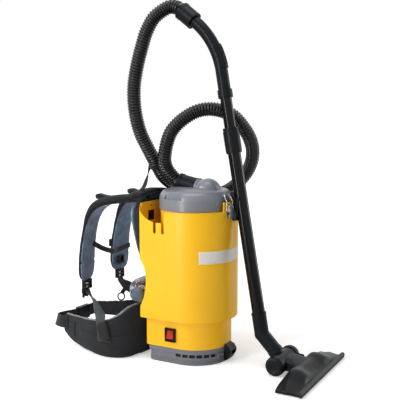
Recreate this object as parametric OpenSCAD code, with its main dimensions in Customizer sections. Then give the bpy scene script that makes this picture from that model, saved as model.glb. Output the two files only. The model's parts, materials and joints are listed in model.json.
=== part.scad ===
// Backpack vacuum cleaner: tank with lid, motor and base, a padded harness,
// a ribbed hose in one loop, and a telescopic wand with a wheeled floor tool
// parked in a clip on the tank's rear.
//
// Frame: origin on the floor under the tank's axis. +X points to the rear,
// away from the wearer, -Y is the wearer's left, +Z is up.

/* [Tank] */
// Radius of the upper shell's round rear, half of its width
shell_r = 118; // [115:1:122]
// Distance from the axis to the front panel's outer face
shell_front = 120; // [118:1:126]
// Wall of the upper shell
shell_wall = 3.5; // [3:0.25:4]
// Height of the upper shell's bottom edge
skirt_z = 125; // [120:1:130]
// Height of the lid's bottom edge
rim_z = 426; // [420:1:436]
// How far the front panel stands above the lid's bottom edge
panel_rise = 19; // [14:1:24]
// Radius of the dust drum and of the lower body
drum_r = 100.5; // [99:0.5:103]
// Wall of the drum and the lower body
drum_wall = 3; // [2.5:0.25:3.5]
// Distance from the axis to the lower body's front face
lower_front = 109; // [105:1:112]
// Depth of the waist that is cut into the front panel and the wings
waist_depth = 24; // [18:1:26]

/* [Base] */
// Height of the base
base_h = 44; // [40:1:48]
// Height of the recessed band that holds the exhaust slots
band_h = 31; // [28:1:33]
// Depth of that recess
band_step = 2.5; // [1.5:0.5:3]
// Height of an exhaust slot
slot_h = 9; // [7:0.5:10]
// Length of an exhaust slot
slot_len = 16; // [13:0.5:17]

/* [Lid] */
// Wall of the lid
lid_wall = 3; // [2.5:0.25:3.5]
// Height of the lid's crown above its bottom edge
lid_rise = 62; // [58:1:68]
// Radius of the dome over the inlet elbow
dome_r = 36; // [33:1:38]
// Radius of the inlet's bore
mouth_r = 20; // [19:0.5:21]
// Upward tilt of the inlet
mouth_tilt = 12; // [8:1:16]

/* [Hose] */
// Diameter of the hose over its ribs
hose_d = 40; // [38:1:42]
// Bore of the hose
hose_bore = 30; // [28:1:32]
// Pitch of the ribs
rib_pitch = 10; // [9.5:0.5:14]

/* [Wand] */
// Outer diameter of the outer tube
tube_d = 35.5; // [34:0.5:37]
// Wall of both tubes
tube_wall = 1.8; // [1.6:0.1:2.2]
// Length of the outer tube
tube_len = 530; // [510:5:560]
// How far the inner tube stands out of the lock sleeve
tube_out = 84; // [80:1:100]
// Backward lean of the parked wand
wand_lean = 10; // [8:0.5:11]
// Distance from the shell's rear to the wand's axis at the clip
wand_reach = 26; // [24:0.5:30]
// Length of the lock sleeve
sleeve_len = 70; // [60:1:80]

/* [Floor tool] */
// Length of the head, across the direction of travel
head_len = 340; // [280:5:360]
// Depth of the head, along the direction of travel
head_depth = 84; // [76:1:92]
// Diameter of the wheels
wheel_d = 53; // [50:1:56]
// Width over both wheels
wheel_span = 132; // [124:1:140]

/* [Harness] */
// Width of a shoulder pad
pad_w = 70; // [62:1:76]
// Thickness of a shoulder pad
pad_t = 15; // [12:0.5:17]
// Thickness of the back pad at the shoulder blades
back_t = 48; // [40:1:52]
// Thickness of the belt wings
wing_t = 17; // [14:1:18]
// Width of the webbing
web_w = 25; // [20:1:28]
// Thickness of the webbing
web_t = 2.2; // [1.8:0.1:2.6]

/* [Hidden] */
$fn = 96;
run = 0.08;          // radial clearance of a running fit
gap = 0.3;           // clearance between neighbours that only rest together
eps = 0.01;

yellow = "#f6c21a";
lid_grey = "#8c8c92";
base_grey = "#7d8087";
black = "#22262b";
cloth_black = "#3a3a3d";
pad_blue = "#5f7084";
steel = "#c9ccd0";

// ---- curves and skins ----------------------------------------------------

function unit(v) = v / norm(v);

// A smooth curve through the points of P, with n steps between two points
function smooth(P, n) = let (m = len(P)) [
  for (i = [0 : m - 2]) for (k = [0 : n - 1])
    let (t = k / n, b = P[i], c = P[i + 1],
         a = i > 0 ? P[i - 1] : 2 * P[0] - P[1],
         d = i < m - 2 ? P[i + 2] : 2 * P[m - 1] - P[m - 2])
    0.5 * (2 * b + (c - a) * t + (2 * a - 5 * b + 4 * c - d) * t * t
      + (3 * b - a - 3 * c + d) * t * t * t),
  P[m - 1]];

function lengths(P) = [
  for (i = 0, s = 0; i < len(P); i = i + 1,
       s = s + (i < len(P) ? norm(P[i] - P[i - 1]) : 0)) s];

// The curve P again, as steps + 1 points at equal distances
function evenly(P, steps) = let (c = lengths(P), whole = c[len(c) - 1],
    table = [for (i = [0 : len(P) - 1]) [c[i], i]]) [
  for (k = [0 : steps])
    let (u = lookup(whole * k / steps, table), i = min(floor(u), len(P) - 2), f = u - i)
    P[i] * (1 - f) + P[i + 1] * f];

function tangents(P) = [
  for (i = [0 : len(P) - 1]) unit(P[min(i + 1, len(P) - 1)] - P[max(i - 1, 0)])];

// Side vectors that turn as little as they can along the tangents T
function side_vectors(T, first) = [
  for (i = 0, n = unit(first - (first * T[0]) * T[0]); i < len(T); i = i + 1,
       n = i < len(T) ? unit(n - (n * T[i]) * T[i]) : n) n];

function ring(p, t, n, r, sides) = [
  for (k = [0 : sides - 1]) let (a = 360 * k / sides)
    p + r * (cos(a) * n + sin(a) * cross(t, n))];

// Side faces between rings of n points; the first ring starts at index 'from'
function side_faces(rings, n, from, inward) = [
  for (i = [0 : rings - 2]) for (k = [0 : n - 1])
    let (a = from + i * n + k, b = from + i * n + (k + 1) % n, c = b + n, d = a + n)
    each (inward ? [[a, c, d], [a, b, c]] : [[a, d, c], [a, c, b]])];

// Closed skin over a list of rings, with a fan on each end
module skin(rings) {
  n = len(rings[0]);
  m = len(rings);
  middle = function (r) [for (j = [0 : 2]) [for (p = r) p[j]] * [for (p = r) 1] / n];
  polyhedron(
    points = [for (r = rings) each r, middle(rings[0]), middle(rings[m - 1])],
    faces = [each side_faces(m, n, 0, false),
      for (k = [0 : n - 1]) [m * n, k, (k + 1) % n],
      for (k = [0 : n - 1]) [m * n + 1, (m - 1) * n + (k + 1) % n, (m - 1) * n + k]]);
}

// Cross-sections of a strap or cushion. Each station of S is
// [x, y, z, width, thickness, and three numbers that say where its width points]
function strap_rings(S, n, square) = let (
    P = [for (s = S) [s[0], s[1], s[2]]], T = tangents(P)) [
  for (i = [0 : len(S) - 1])
    let (h = [S[i][5], S[i][6], S[i][7]], W = unit(h - (h * T[i]) * T[i]), N = cross(T[i], W))
    [for (k = [0 : n - 1]) let (a = 360 * (k + 0.5) / n, u = cos(a), v = sin(a))
      P[i] + W * (S[i][3] / 2 * sign(u) * pow(abs(u), 2 / square))
           + N * (S[i][4] / 2 * sign(v) * pow(abs(v), 2 / square))]];

// A cushion: rounded sections with a crown
module cushion(S, steps = 2, n = 12) skin(strap_rings(smooth(S, steps), n, 2.8));

// A flat webbing strap
module strap(S, steps = 3) skin(strap_rings(smooth(S, steps), 4, 60));

// The same stations on the wearer's other side
function mirrored(S) = [for (s = S) [s[0], -s[1], s[2], s[3], s[4], s[5], -s[6], s[7]]];

// ---- outlines and placed frames --------------------------------------------

// Plan outline of the body: a round rear, straight sides, a flat front
module d_outline(r, front, corner) {
  circle(r, $fn = 192);
  translate([-front + corner, -r]) square([front - corner, 2 * r]);
  translate([-front, -r + corner]) square([front, 2 * (r - corner)]);
  for (s = [-1, 1]) translate([-front + corner, s * (r - corner)]) circle(corner);
}

// The wedge of plan between two angles, out to radius r
module sector(a, b, r) polygon([[0, 0], for (k = [0 : 8]) let (t = a + (b - a) * k / 8)
  r / cos((b - a) / 16) * [cos(t), sin(t)]]);

lid_r = drum_r + gap + lid_wall;
lid_top = rim_z + lid_rise;
shoulder_z = rim_z - gap;                 // top of the shell's shoulder ring
drum_top = rim_z + 5;
dust_floor = 190;
front_x = -shell_front;

// The inlet: a pipe that leaves the dome towards the wearer
mouth = [4, 0, rim_z + 61];
mouth_dir = [-cos(mouth_tilt), 0, sin(mouth_tilt)];
mouth_wall = 4;
cuff_len = 58;
cuff_socket = 38;                         // depth of the cuff's hose socket
module at_mouth(t = 0) translate(mouth + t * mouth_dir) rotate([0, -90 + mouth_tilt, 0]) children();

// The wand: s runs up its axis from the foot of the visible tube
clip_z = rim_z + 8;
wand_foot_z = 148;
wand_foot_x = shell_r + wand_reach + (clip_z - wand_foot_z) * tan(wand_lean);
wand_dir = [-sin(wand_lean), 0, cos(wand_lean)];
wand_foot = [wand_foot_x, 0, wand_foot_z];
module on_wand(s = 0) translate(wand_foot + s * wand_dir) rotate([0, -wand_lean, 0]) children();
tube_r = tube_d / 2;
inner_r = tube_r - tube_wall - run;
socket_in = 32;                           // how far the tube goes into the elbow
tube_top = tube_len - socket_in;          // upper end of the outer tube
sleeve_s = tube_top - sleeve_len + 14;    // lower end of the lock sleeve
sleeve_travel = 8;
sleeve_top = sleeve_s + sleeve_len;
grip_s = sleeve_top + tube_out;           // where the handle's grip begins
grip_in = 34;                             // how far the inner tube goes into it
inner_len = 470;

// The handle bends back over the wearer
grip_straight = 70;
grip_bend_r = 220;
grip_bend = 42;                           // degrees of bend
grip_start = wand_foot + grip_s * wand_dir;
bend_start = grip_start + grip_straight * wand_dir;
grip_centre = bend_start - grip_bend_r * [cos(wand_lean), 0, sin(wand_lean)];
grip_end = grip_centre + grip_bend_r * [
  cos(wand_lean + grip_bend), 0, sin(wand_lean + grip_bend)];
grip_end_tilt = wand_lean + grip_bend;
grip_end_dir = [-sin(grip_end_tilt), 0, cos(grip_end_tilt)];
hand_cuff_len = 50;
hand_socket = 34;
module at_grip_end(t = 0) translate(grip_end + t * grip_end_dir)
  rotate([0, -grip_end_tilt, 0]) children();

// The elbow turns from the wand's line to the tool's axle
wheel_r = wheel_d / 2;
elbow_s = -58;                            // corner of the mitred elbow
elbow = wand_foot + elbow_s * wand_dir;
elbow_tilt = 44;                          // angle of the lower leg from the vertical
lower_dir = [sin(elbow_tilt), 0, -cos(elbow_tilt)];
leg_len = (elbow[2] - wheel_r) / cos(elbow_tilt);
axle = elbow + leg_len * lower_dir;
barrel_r = 24;
stub_t = leg_len - barrel_r - 14;         // where the swivel joint sits on the leg
module on_leg(t = 0) translate(elbow + t * lower_dir) rotate([0, 180 - elbow_tilt, 0]) children();

// ---- tank ------------------------------------------------------------------

waist_z = [148, 292];                     // bottom and top of the waist
wing_low = rim_z - 31;                    // lowest point of the pocket's rim
pocket_x = -36;                           // where the pocket meets the full wall
pocket_arc = 62;
pocket_slots = [-66.5, -40.5];            // middles of the two tool slots
pocket_slot_w = 9;
pocket_slot_z = rim_z - 61;
latch_angle = 14;
latch_half = 8;                           // half of a latch tab's angle
latch_z = rim_z + 14;                     // height of the lever's pin
tab_top = rim_z + 26;

module shell_outline(inset) d_outline(shell_r - inset, shell_front - inset, 12 - inset);

// The hollow of the waist; grown by the wall it is what the inner void leaves out
module waist_cut(grow = 0) {
  mid = (waist_z[0] + waist_z[1]) / 2;
  half = (waist_z[1] - waist_z[0]) / 2 + grow;
  deep = waist_depth + grow;
  side = smooth([[-eps - 2, half + 2], [1.5, half], [deep * 0.55, half - 13],
    [deep * 0.95, half - 36], [deep, 0], [deep * 0.75, -half + 36],
    [deep * 0.3, -half + 12], [1, -half], [-eps - 2, -half - 1]], 4);
  translate([front_x, shell_r + 5, mid]) rotate([90, 0, 0]) linear_extrude(2 * shell_r + 10)
    polygon([[-12, -half - 1], each [for (k = [len(side) - 1 : -1 : 0]) side[k]],
      [-12, half + 2]]);
}

module outer_shell() color(yellow) difference() {
  union() {
    difference() {
      translate([0, 0, skirt_z]) linear_extrude(rim_z + panel_rise - skirt_z) shell_outline(0);
      difference() {
        translate([0, 0, skirt_z + 3]) linear_extrude(rim_z + panel_rise) shell_outline(shell_wall);
        waist_cut(shell_wall);
      }
      translate([0, 0, skirt_z]) cylinder(r = drum_r + gap, h = rim_z, $fn = 192);
      translate([0, 0, skirt_z - 1]) linear_extrude(5)
        d_outline(drum_r + gap, lower_front + gap, 10);
      // the wall stops below the lid everywhere but in front of the pockets
      translate([pocket_x, -shell_r - 1, shoulder_z])
        cube([2 * shell_r, 2 * shell_r + 2, panel_rise + 20]);
      // the wings' rims dip between the front panel and the drum
      for (s = [-1, 1]) translate([0, s * (shell_r - 2), 0]) rotate([90, 0, 0])
        translate([0, 0, -12]) linear_extrude(24) intersection() {
          translate([pocket_x - 4 * pocket_arc, wing_low]) square([4 * pocket_arc, 80]);
          union() {
            translate([pocket_x - 24, wing_low + pocket_arc]) circle(pocket_arc);
            translate([pocket_x - 24, wing_low]) square([24, 80]);
          }
        }
    }
    // shoulder ring between the drum and the wall, open over the pockets
    translate([0, 0, shoulder_z - 4]) linear_extrude(4) difference() {
      circle(shell_r - 1, $fn = 192);
      circle(drum_r + gap, $fn = 192);
      translate([-2 * shell_r + pocket_x, -shell_r]) square(2 * shell_r);
    }
    // ribs that close the hollow wall towards the pockets
    for (s = [-1, 1]) translate([pocket_x, 0, skirt_z + 11]) linear_extrude(shoulder_z - skirt_z - 11)
      difference() {
        translate([0, s > 0 ? 0 : -shell_r + 1]) square([3, shell_r - 1]);
        translate([-pocket_x, 0]) circle(drum_r + gap, $fn = 192);
      }
    // tabs that carry the latches
    for (s = [-1, 1]) translate([0, 0, shoulder_z - 4]) linear_extrude(tab_top - shoulder_z + 4)
      intersection() {
        difference() {
          circle(shell_r, $fn = 192);
          circle(shell_r - 4.5, $fn = 192);
        }
        sector(s * latch_angle - latch_half, s * latch_angle + latch_half, shell_r + 5);
      }
  }
  waist_cut();
  // two round-ended tool slots in each wing
  for (x = pocket_slots) translate([x, -shell_r - 1, pocket_slot_z + pocket_slot_w / 2])
    rotate([-90, 0, 0]) {
      cylinder(d = pocket_slot_w, h = 2 * shell_r + 2);
      translate([-pocket_slot_w / 2, -60, 0]) cube([pocket_slot_w, 60, 2 * shell_r + 2]);
    }
  // rivet holes of the latches and screw holes of the clip and the back plate
  for (s = [-1, 1]) rotate(s * latch_angle) for (z = latch_rivets)
    translate([shell_r - 8, 0, z]) rotate([0, 90, 0]) cylinder(r = rivet_r + run, h = 12);
  for (p = clip_screw_at) translate([shell_r - 8, p[0], p[1]]) rotate([0, 90, 0])
    cylinder(r = screw_r + run, h = 12);
  for (p = plate_screw_at) translate([front_x - 2, p[0], p[1]]) rotate([0, 90, 0])
    cylinder(r = screw_r + run, h = 8);
  // openings in the front panel, where the straps are reached from the pockets
  for (y = [-51, 51]) translate([front_x - 2, y - 18, rim_z - 35]) cube([8, 36, 29]);
}

switch_x = -26;
switch_z = 82;
switch_w = 32;
switch_h = 38;
rocker_w = 21;
rocker_h = 28.6;

module tank_body() color(yellow) difference() {
  union() {
    translate([0, 0, base_h + gap]) linear_extrude(skirt_z + 10 - base_h)
      d_outline(drum_r, lower_front, 10);
    translate([0, 0, base_h + gap]) cylinder(r = drum_r, h = drum_top - base_h - gap, $fn = 192);
  }
  translate([0, 0, base_h]) linear_extrude(skirt_z + 7 - base_h)
    d_outline(drum_r - drum_wall, lower_front - drum_wall, 7);
  translate([0, 0, base_h]) cylinder(r = drum_r - drum_wall, h = dust_floor - 4 - base_h, $fn = 192);
  translate([0, 0, dust_floor]) cylinder(r = drum_r - drum_wall, h = drum_top, $fn = 192);
  translate([0, 0, dust_floor - 10]) cylinder(r = 32, h = 20);
  translate([switch_x - switch_w / 2 + 3, -drum_r - 2, switch_z - switch_h / 2 + 3])
    cube([switch_w - 6, 8, switch_h - 6]);
}

// ---- base ------------------------------------------------------------------

base_front = 102;
slot_count = 6;
slot_pitch = 20.4;
slot_first = -4;                          // arc length from the round's start
band_r = drum_r - band_step;
lip_h = 12;                               // the lip that stands inside the lower body

module base_slot(s) {
  turn = max(0, s) / band_r * 180 / PI;
  rotate(turn) translate([min(0, s) - slot_len / 2, -band_r - 4, band_h - 1 - slot_h])
    cube([slot_len, 14, slot_h]);
}

bumper_out = 1.3;
bumpers = [[3, 5.2], [10.4, 3.4]];        // [height, thickness] of the two bumper ribs

module base_pan() color(base_grey) difference() {
  union() {
    linear_extrude(band_h + eps) d_outline(band_r, base_front - 5, 12);
    for (b = bumpers) translate([0, 0, b[0]]) linear_extrude(b[1])
      d_outline(band_r + bumper_out, base_front - 5 + bumper_out, 12);
    translate([0, 0, band_h]) linear_extrude(base_h - band_h)
      d_outline(drum_r, base_front, 12);
    translate([0, 0, base_h - 1]) linear_extrude(lip_h)
      d_outline(drum_r - drum_wall - gap, base_front - 4, 9);
  }
  translate([0, 0, 5]) linear_extrude(base_h + lip_h)
    d_outline(band_r - 4, base_front - 11, 8);
  for (i = [0 : slot_count - 1]) for (s = [0, 1]) mirror([0, s, 0])
    base_slot(slot_first + i * slot_pitch);
  // the cord's way in
  translate([band_r - 8, -inlet_w / 2 + 5, inlet_z0 + 10]) cube([14, inlet_w - 10, 10]);
}

module exhaust_filter() color("#2e2f33") translate([0, 0, 5 + eps]) difference() {
  linear_extrude(band_h - 7) d_outline(band_r - 4 - gap, base_front - 11 - gap, 8);
  translate([0, 0, -1]) linear_extrude(band_h) d_outline(band_r - 16, base_front - 24, 5);
}

module base_catch() color(base_grey) rotate(-20) translate([band_r, 0, 0]) difference() {
  translate([0.1, -9, 14]) cube([4.5, 18, band_h - 15]);
  translate([2, -6, 18]) cube([4, 12, 4]);
}

inlet_w = 38;
inlet_z0 = 6;
inlet_out = 19;

// Cord inlet and hook on the lower body's rear, with a round-ended socket
module power_inlet() color(black) difference() {
  translate([0, inlet_w / 2, 0]) rotate([90, 0, 0]) linear_extrude(inlet_w) polygon([
    [drum_r - 8, inlet_z0], [drum_r + inlet_out - 12, inlet_z0],
    [drum_r + inlet_out - 1, inlet_z0 + 18], [drum_r + inlet_out, inlet_z0 + 28],
    [drum_r + inlet_out - 8, inlet_z0 + 40], [drum_r - 2, inlet_z0 + 45],
    [drum_r - 8, inlet_z0 + 45]]);
  translate([0, 0, -1]) cylinder(r = drum_r + 0.2, h = 100, $fn = 192);
  translate([drum_r + inlet_out - 12, -11, inlet_z0 + 14]) cube([20, 22, 14]);
}

// ---- motor -----------------------------------------------------------------

motor_r = 66;
motor_z = [62, 158];
fan_z = [112, 132];
shaft_r = 6;

// Motor can with its fan chamber, an intake on top and vents round its side
module motor_can() color("#9aa0a6") difference() {
  union() {
    translate([0, 0, motor_z[0]]) cylinder(r = 42, h = motor_z[1] - motor_z[0] - 50);
    translate([0, 0, fan_z[0] - 4]) cylinder(r = motor_r, h = motor_z[1] - fan_z[0] + 4);
    for (a = [45 : 90 : 315]) rotate(a) translate([36, -5, motor_z[0]]) cube([26, 10, 8]);
  }
  translate([0, 0, fan_z[0] - 2]) cylinder(r = motor_r - 2, h = fan_z[1] - fan_z[0] + 4);
  translate([0, 0, fan_z[1]]) cylinder(r = 24, h = 40);
  translate([0, 0, motor_z[0] + 14]) cylinder(r = 39, h = fan_z[0] - motor_z[0] - 20);
  translate([0, 0, motor_z[0] - 1]) cylinder(r = shaft_r + run, h = 100);
  for (a = [22.5 : 45 : 359]) rotate(a) translate([motor_r - 10, -8, fan_z[0]])
    cube([20, 16, 12]);
  for (a = [0 : 45 : 359]) rotate(a) translate([30, -5, motor_z[0] + 22])
    cube([20, 10, 16]);
}

module motor_rotor() color(steel) {
  translate([0, 0, motor_z[0] - 8]) cylinder(r = shaft_r, h = fan_z[1] - motor_z[0] + 14);
  translate([0, 0, motor_z[0] + 18]) cylinder(r = 28, h = 24);
  translate([0, 0, fan_z[0] + 1]) cylinder(r = motor_r - 5, h = 2);
  difference() {
    translate([0, 0, fan_z[1] - 5]) cylinder(r = motor_r - 5, h = 2);
    translate([0, 0, fan_z[1] - 6]) cylinder(r = 22, h = 4);
  }
  for (a = [0 : 45 : 359]) rotate(a) translate([24, -1, fan_z[0] + 2])
    cube([motor_r - 31, 2, fan_z[1] - fan_z[0] - 6]);
}

// Rubber rings that hold the motor between the dust floor and the base
module motor_gaskets() color("#1c1c1e") {
  translate([0, 0, motor_z[1] + eps]) difference() {
    cylinder(r = motor_r - 4, h = dust_floor - 4 - motor_z[1] - 2 * eps);
    translate([0, 0, -1]) cylinder(r = 40, h = 60);
  }
  for (a = [45 : 90 : 315]) rotate(a) translate([54, 0, 5 + eps])
    cylinder(r = 5, h = motor_z[0] - 5 - 2 * eps);
}

// ---- filters ---------------------------------------------------------------

basket_r = drum_r - drum_wall - 6;
ledge_z = rim_z - 8;

// Ring on the drum's rim that carries an open basket
module filter_basket() color("#3b3f45") {
  translate([0, 0, drum_top + eps]) difference() {
    cylinder(r = drum_r - 0.5, h = 2, $fn = 192);
    translate([0, 0, -1]) cylinder(r = basket_r - 2, h = 4, $fn = 192);
  }
  difference() {
    translate([0, 0, dust_floor + 12]) cylinder(r = basket_r, h = drum_top - dust_floor - 11);
    translate([0, 0, dust_floor + 15]) cylinder(r = basket_r - 2, h = 400);
    for (z = [dust_floor + 26 : 48 : drum_top - 55]) for (a = [0 : 45 : 315])
      rotate(a) translate([basket_r - 8, -22, z]) cube([16, 44, 38]);
  }
}

module cloth_filter() color("#e4e0d4") translate([0, 0, dust_floor + 15 + eps]) difference() {
  cylinder(r = basket_r - 2 - gap, h = 190);
  translate([0, 0, 2]) cylinder(r = basket_r - 5, h = 400);
}

module dust_bag() color("#d9c9a3") translate([0, 0, dust_floor + 17 + gap]) {
  rotate_extrude() polygon([[0, 0], [52, 0], [70, 9], [80, 26], [83, 60], [83, 130],
    [78, 156], [62, 172], [30, 178], [30, 181], [0, 181]]);
}

// ---- lid -------------------------------------------------------------------

trough_r = hose_d / 2 + 5.2;              // the trough under the inlet's cuff
grip_w = 64;                              // the finger recesses on both sides
grip_x = -20;

lid_shoulder = 27;                        // radius of the lid's upper edge
module lid_profile(inset) polygon([
  [0, rim_z - eps], [lid_r - inset, rim_z - eps],
  for (k = [0 : 12]) let (a = 90 * k / 12, r = lid_shoulder)
    [lid_r - r + (r - inset) * cos(a), lid_top - 6 - r + (r - inset) * sin(a)],
  [lid_r - 40, lid_top - 3.4 - inset], [50, lid_top - 1.4 - inset], [0, lid_top - inset]]);

// The wire of each latch hooks over one of these
lug_in = 10;                              // how far it starts inside the lid's side
module catch_lug() translate([lid_r - lug_in, -4.5, latch_z + 26])
  cube([shell_r - 6.5 - lid_r + lug_in, 9, 6.4]);

module lid() color(lid_grey) difference() {
  union() {
    rotate_extrude($fn = 192) lid_profile(0);
    translate([38, 0, rim_z + 50]) sphere(r = dome_r);
    at_mouth(-34) cylinder(r = mouth_r + mouth_wall, h = 34);
    at_mouth(-5) cylinder(r = mouth_r + mouth_wall + 1.5, h = 5);
    for (s = [-1, 1]) rotate(s * latch_angle) catch_lug();
  }
  difference() {
    translate([0, 0, -eps]) rotate_extrude($fn = 192) lid_profile(lid_wall);
    // the floor of the trough that the inlet's cuff lies in
    at_mouth(-2) cylinder(r = trough_r + lid_wall, h = 120);
    // the ring that presses on the seal
    translate([0, 0, drum_top + 2 + 3.4]) difference() {
      cylinder(r = lid_r, h = 4, $fn = 192);
      translate([0, 0, -1]) cylinder(r = basket_r + 1, h = 6, $fn = 192);
    }
    // pockets of the finger recesses
    for (s = [0, 1]) mirror([0, s, 0]) translate([grip_x - grip_w / 2, -lid_r - 5, rim_z + 29])
      cube([grip_w, 23 + lid_wall, 60]);
  }
  translate([38, 0, rim_z + 50]) sphere(r = dome_r - 3.5);
  at_mouth(-34) cylinder(r = mouth_r, h = 60);
  at_mouth(0.05) cylinder(r = trough_r, h = 120);
  for (s = [0, 1]) mirror([0, s, 0]) translate([grip_x - grip_w / 2 + 2, -lid_r - 5, rim_z + 32])
    cube([grip_w - 4, 23, 60]);
}

module lid_seal() color("#1c1c1e") translate([0, 0, drum_top + 2 + 2 * eps]) difference() {
  cylinder(r = drum_r - 1, h = 3.3, $fn = 192);
  translate([0, 0, -1]) cylinder(r = basket_r + 2, h = 6, $fn = 192);
}

// ---- latches ---------------------------------------------------------------

rivet_r = 1.8;
latch_rivets = [latch_z - 26, latch_z - 13];
pin_x = shell_r + 8;                      // distance of the lever's pin from the axis
wire_r = 1.2;
bail_dx = -3.6;                           // the wire's pivot, from the pin
bail_dz = -9;
bail_half = 12;                           // half of the wire's width

module latch_plate(side) color(steel) rotate(side * latch_angle) {
  translate([shell_r + 0.05, -7, latch_z - 31]) cube([1.2, 14, 37]);
  for (s = [-1, 1]) {
    translate([pin_x, s * 6.25 + 0.75, latch_z]) rotate([90, 0, 0]) linear_extrude(1.5) {
      circle(2.4);
      polygon([[shell_r + 0.05 - pin_x, -6], [0, -2.4], [0, 2.4], [shell_r + 0.05 - pin_x, 6]]);
    }
    translate([pin_x, s * 5.5, latch_z]) rotate([-s * 90, 0, 0]) cylinder(r = 1.5, h = 4);
  }
  for (z = latch_rivets) translate([shell_r - 6, 0, z]) rotate([0, 90, 0]) {
    cylinder(r = rivet_r, h = 8);
    translate([0, 0, 7]) cylinder(r = 3, h = 1.4);
  }
}

module latch_lever(side) color(steel) rotate(side * latch_angle) translate([pin_x, 0, latch_z]) {
  for (s = [-1, 1]) translate([0, s * 8.35 + 0.65, 0]) rotate([90, 0, 0]) difference() {
    linear_extrude(1.3) {
      circle(3.4);
      translate([bail_dx, bail_dz]) circle(2.4);
      polygon([[-3.4, 0], [bail_dx - 2.4, bail_dz], [bail_dx, bail_dz - 2.4],
        [2.6, bail_dz - 3], [2.6, 3]]);
    }
    translate([0, 0, -1]) cylinder(r = 1.5 + run, h = 4);
    translate([bail_dx, bail_dz, -1]) cylinder(r = wire_r + run, h = 4);
  }
  translate([2.5, -9, -29]) cube([1.4, 18, 25]);
  translate([1.3, -9, -31]) cube([1.4, 18, 6]);
}

// The wire: two legs, a round top and two ends that turn into the lever
bail_up = 24;                             // straight part of the legs
bail_tilt = 33;                           // then the wire leans in over the lid
bail_reach = 12;
module latch_bail(side) color(steel) rotate(side * latch_angle)
  translate([pin_x + bail_dx, 0, latch_z + bail_dz]) {
    for (s = [-1, 1]) {
      translate([0, s * 7.6, 0]) rotate([-s * 90, 0, 0])
        cylinder(r = wire_r, h = bail_half - 7.6, $fn = 24);
      translate([0, s * bail_half, 0]) sphere(r = wire_r + 0.2, $fn = 24);
      translate([0, s * bail_half, 0]) cylinder(r = wire_r, h = bail_up, $fn = 24);
      translate([0, s * bail_half, bail_up]) {
        sphere(r = wire_r + 0.2, $fn = 24);
        rotate([0, -bail_tilt, 0]) cylinder(r = wire_r + 0.05, h = bail_reach + 0.3, $fn = 24);
      }
    }
    translate([0, 0, bail_up]) rotate([0, -bail_tilt, 0]) translate([0, 0, bail_reach])
      rotate([90, 0, 90]) rotate_extrude(angle = 180, $fn = 48)
        translate([bail_half, 0]) circle(wire_r, $fn = 24);
  }

module latch_plate_left() latch_plate(-1);
module latch_plate_right() latch_plate(1);
module latch_lever_left() latch_lever(-1);
module latch_lever_right() latch_lever(1);
module latch_bail_left() latch_bail(-1);
module latch_bail_right() latch_bail(1);

// ---- switch ----------------------------------------------------------------

bezel_out = 7;
module switch_bezel() color(black) translate([switch_x, -drum_r, switch_z]) difference() {
  union() {
    translate([-switch_w / 2, -bezel_out, -switch_h / 2]) cube([switch_w, bezel_out - 0.05, switch_h]);
    translate([-switch_w / 2 + 3 + gap, -1, -switch_h / 2 + 3 + gap])
      cube([switch_w - 6 - 2 * gap, 20, switch_h - 6 - 2 * gap]);
  }
  translate([-rocker_w / 2 - gap, -bezel_out - 1, -rocker_h / 2 - gap])
    cube([rocker_w + 2 * gap, bezel_out + 15, rocker_h + 2 * gap]);
  translate([-15, 4, 0]) rotate([0, 90, 0]) cylinder(r = 2 + run, h = 30);
}

// A rocker on a cross pin, pressed in at its top
module switch_rocker() color("#e0431a") translate([switch_x, -drum_r + 4, switch_z]) {
  translate([-rocker_w / 2, 0, 0]) rotate([90, 0, 90]) linear_extrude(rocker_w)
    polygon([[2, -8], [-8, -12], [-12.2, -10.6], [-9.6, 0], [-8, 12.4], [2, 8]]);
  translate([-12.5, 0, 0]) rotate([0, 90, 0]) cylinder(r = 2, h = 25);
}

// ---- wand and clip -----------------------------------------------------------

clip_w = 22;
clip_low = rim_z - 26;
clip_high = rim_z + 54;
screw_r = 2.2;
clip_screw_at = [[0, rim_z - 20], [0, rim_z - 7]];
jaw_r = tube_r + 2.6;

module wand_clip() color(black) difference() {
  union() {
    difference() {
      translate([shell_r - 6, -clip_w / 2, clip_low]) cube([17, clip_w, clip_high - clip_low]);
      translate([0, 0, clip_low - 1]) cylinder(r = shell_r + 0.05, h = rim_z - clip_low + 3, $fn = 192);
      translate([0, 0, clip_low - 1]) cylinder(r = lid_r + 6, h = 200, $fn = 192);
    }
    intersection() {
      on_wand() cylinder(r = jaw_r, h = tube_top);
      translate([shell_r + 2, -40, clip_low + 14]) cube([wand_reach - 6, 80, 50]);
    }
    translate([shell_r + 3, -11, clip_low + 14]) cube([12, 22, 50]);
  }
  on_wand() translate([0, 0, -1]) cylinder(r = tube_r + run, h = tube_top + 2);
  for (p = clip_screw_at) translate([shell_r - 8, p[0], p[1]]) rotate([0, 90, 0]) {
    cylinder(r = screw_r + run, h = 40);
    translate([0, 0, 12]) cylinder(r = 4.7, h = 30);
  }
}

module clip_screws() color(steel) for (p = clip_screw_at)
  translate([shell_r - 7, p[0], p[1]]) rotate([0, 90, 0]) {
    cylinder(r = screw_r, h = 11.1);
    translate([0, 0, 11.05]) cylinder(r = 4.2, h = 2.6);
  }

module wand_outer_tube() color("#111417") on_wand(-socket_in) difference() {
  cylinder(r = tube_r, h = tube_len);
  translate([0, 0, -1]) cylinder(r = inner_r + run, h = tube_len + 2);
}

module lock_sleeve() color(black) on_wand(sleeve_s) difference() {
  union() {
    cylinder(r = tube_r + 3.6, h = sleeve_len);
    translate([0, 0, 4]) cylinder(r = tube_r + 4.6, h = sleeve_len - 14);
  }
  translate([0, 0, -1]) cylinder(r = tube_r + run, h = sleeve_len - 3);
  cylinder(r = inner_r + run, h = sleeve_len + 1);
}

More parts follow.
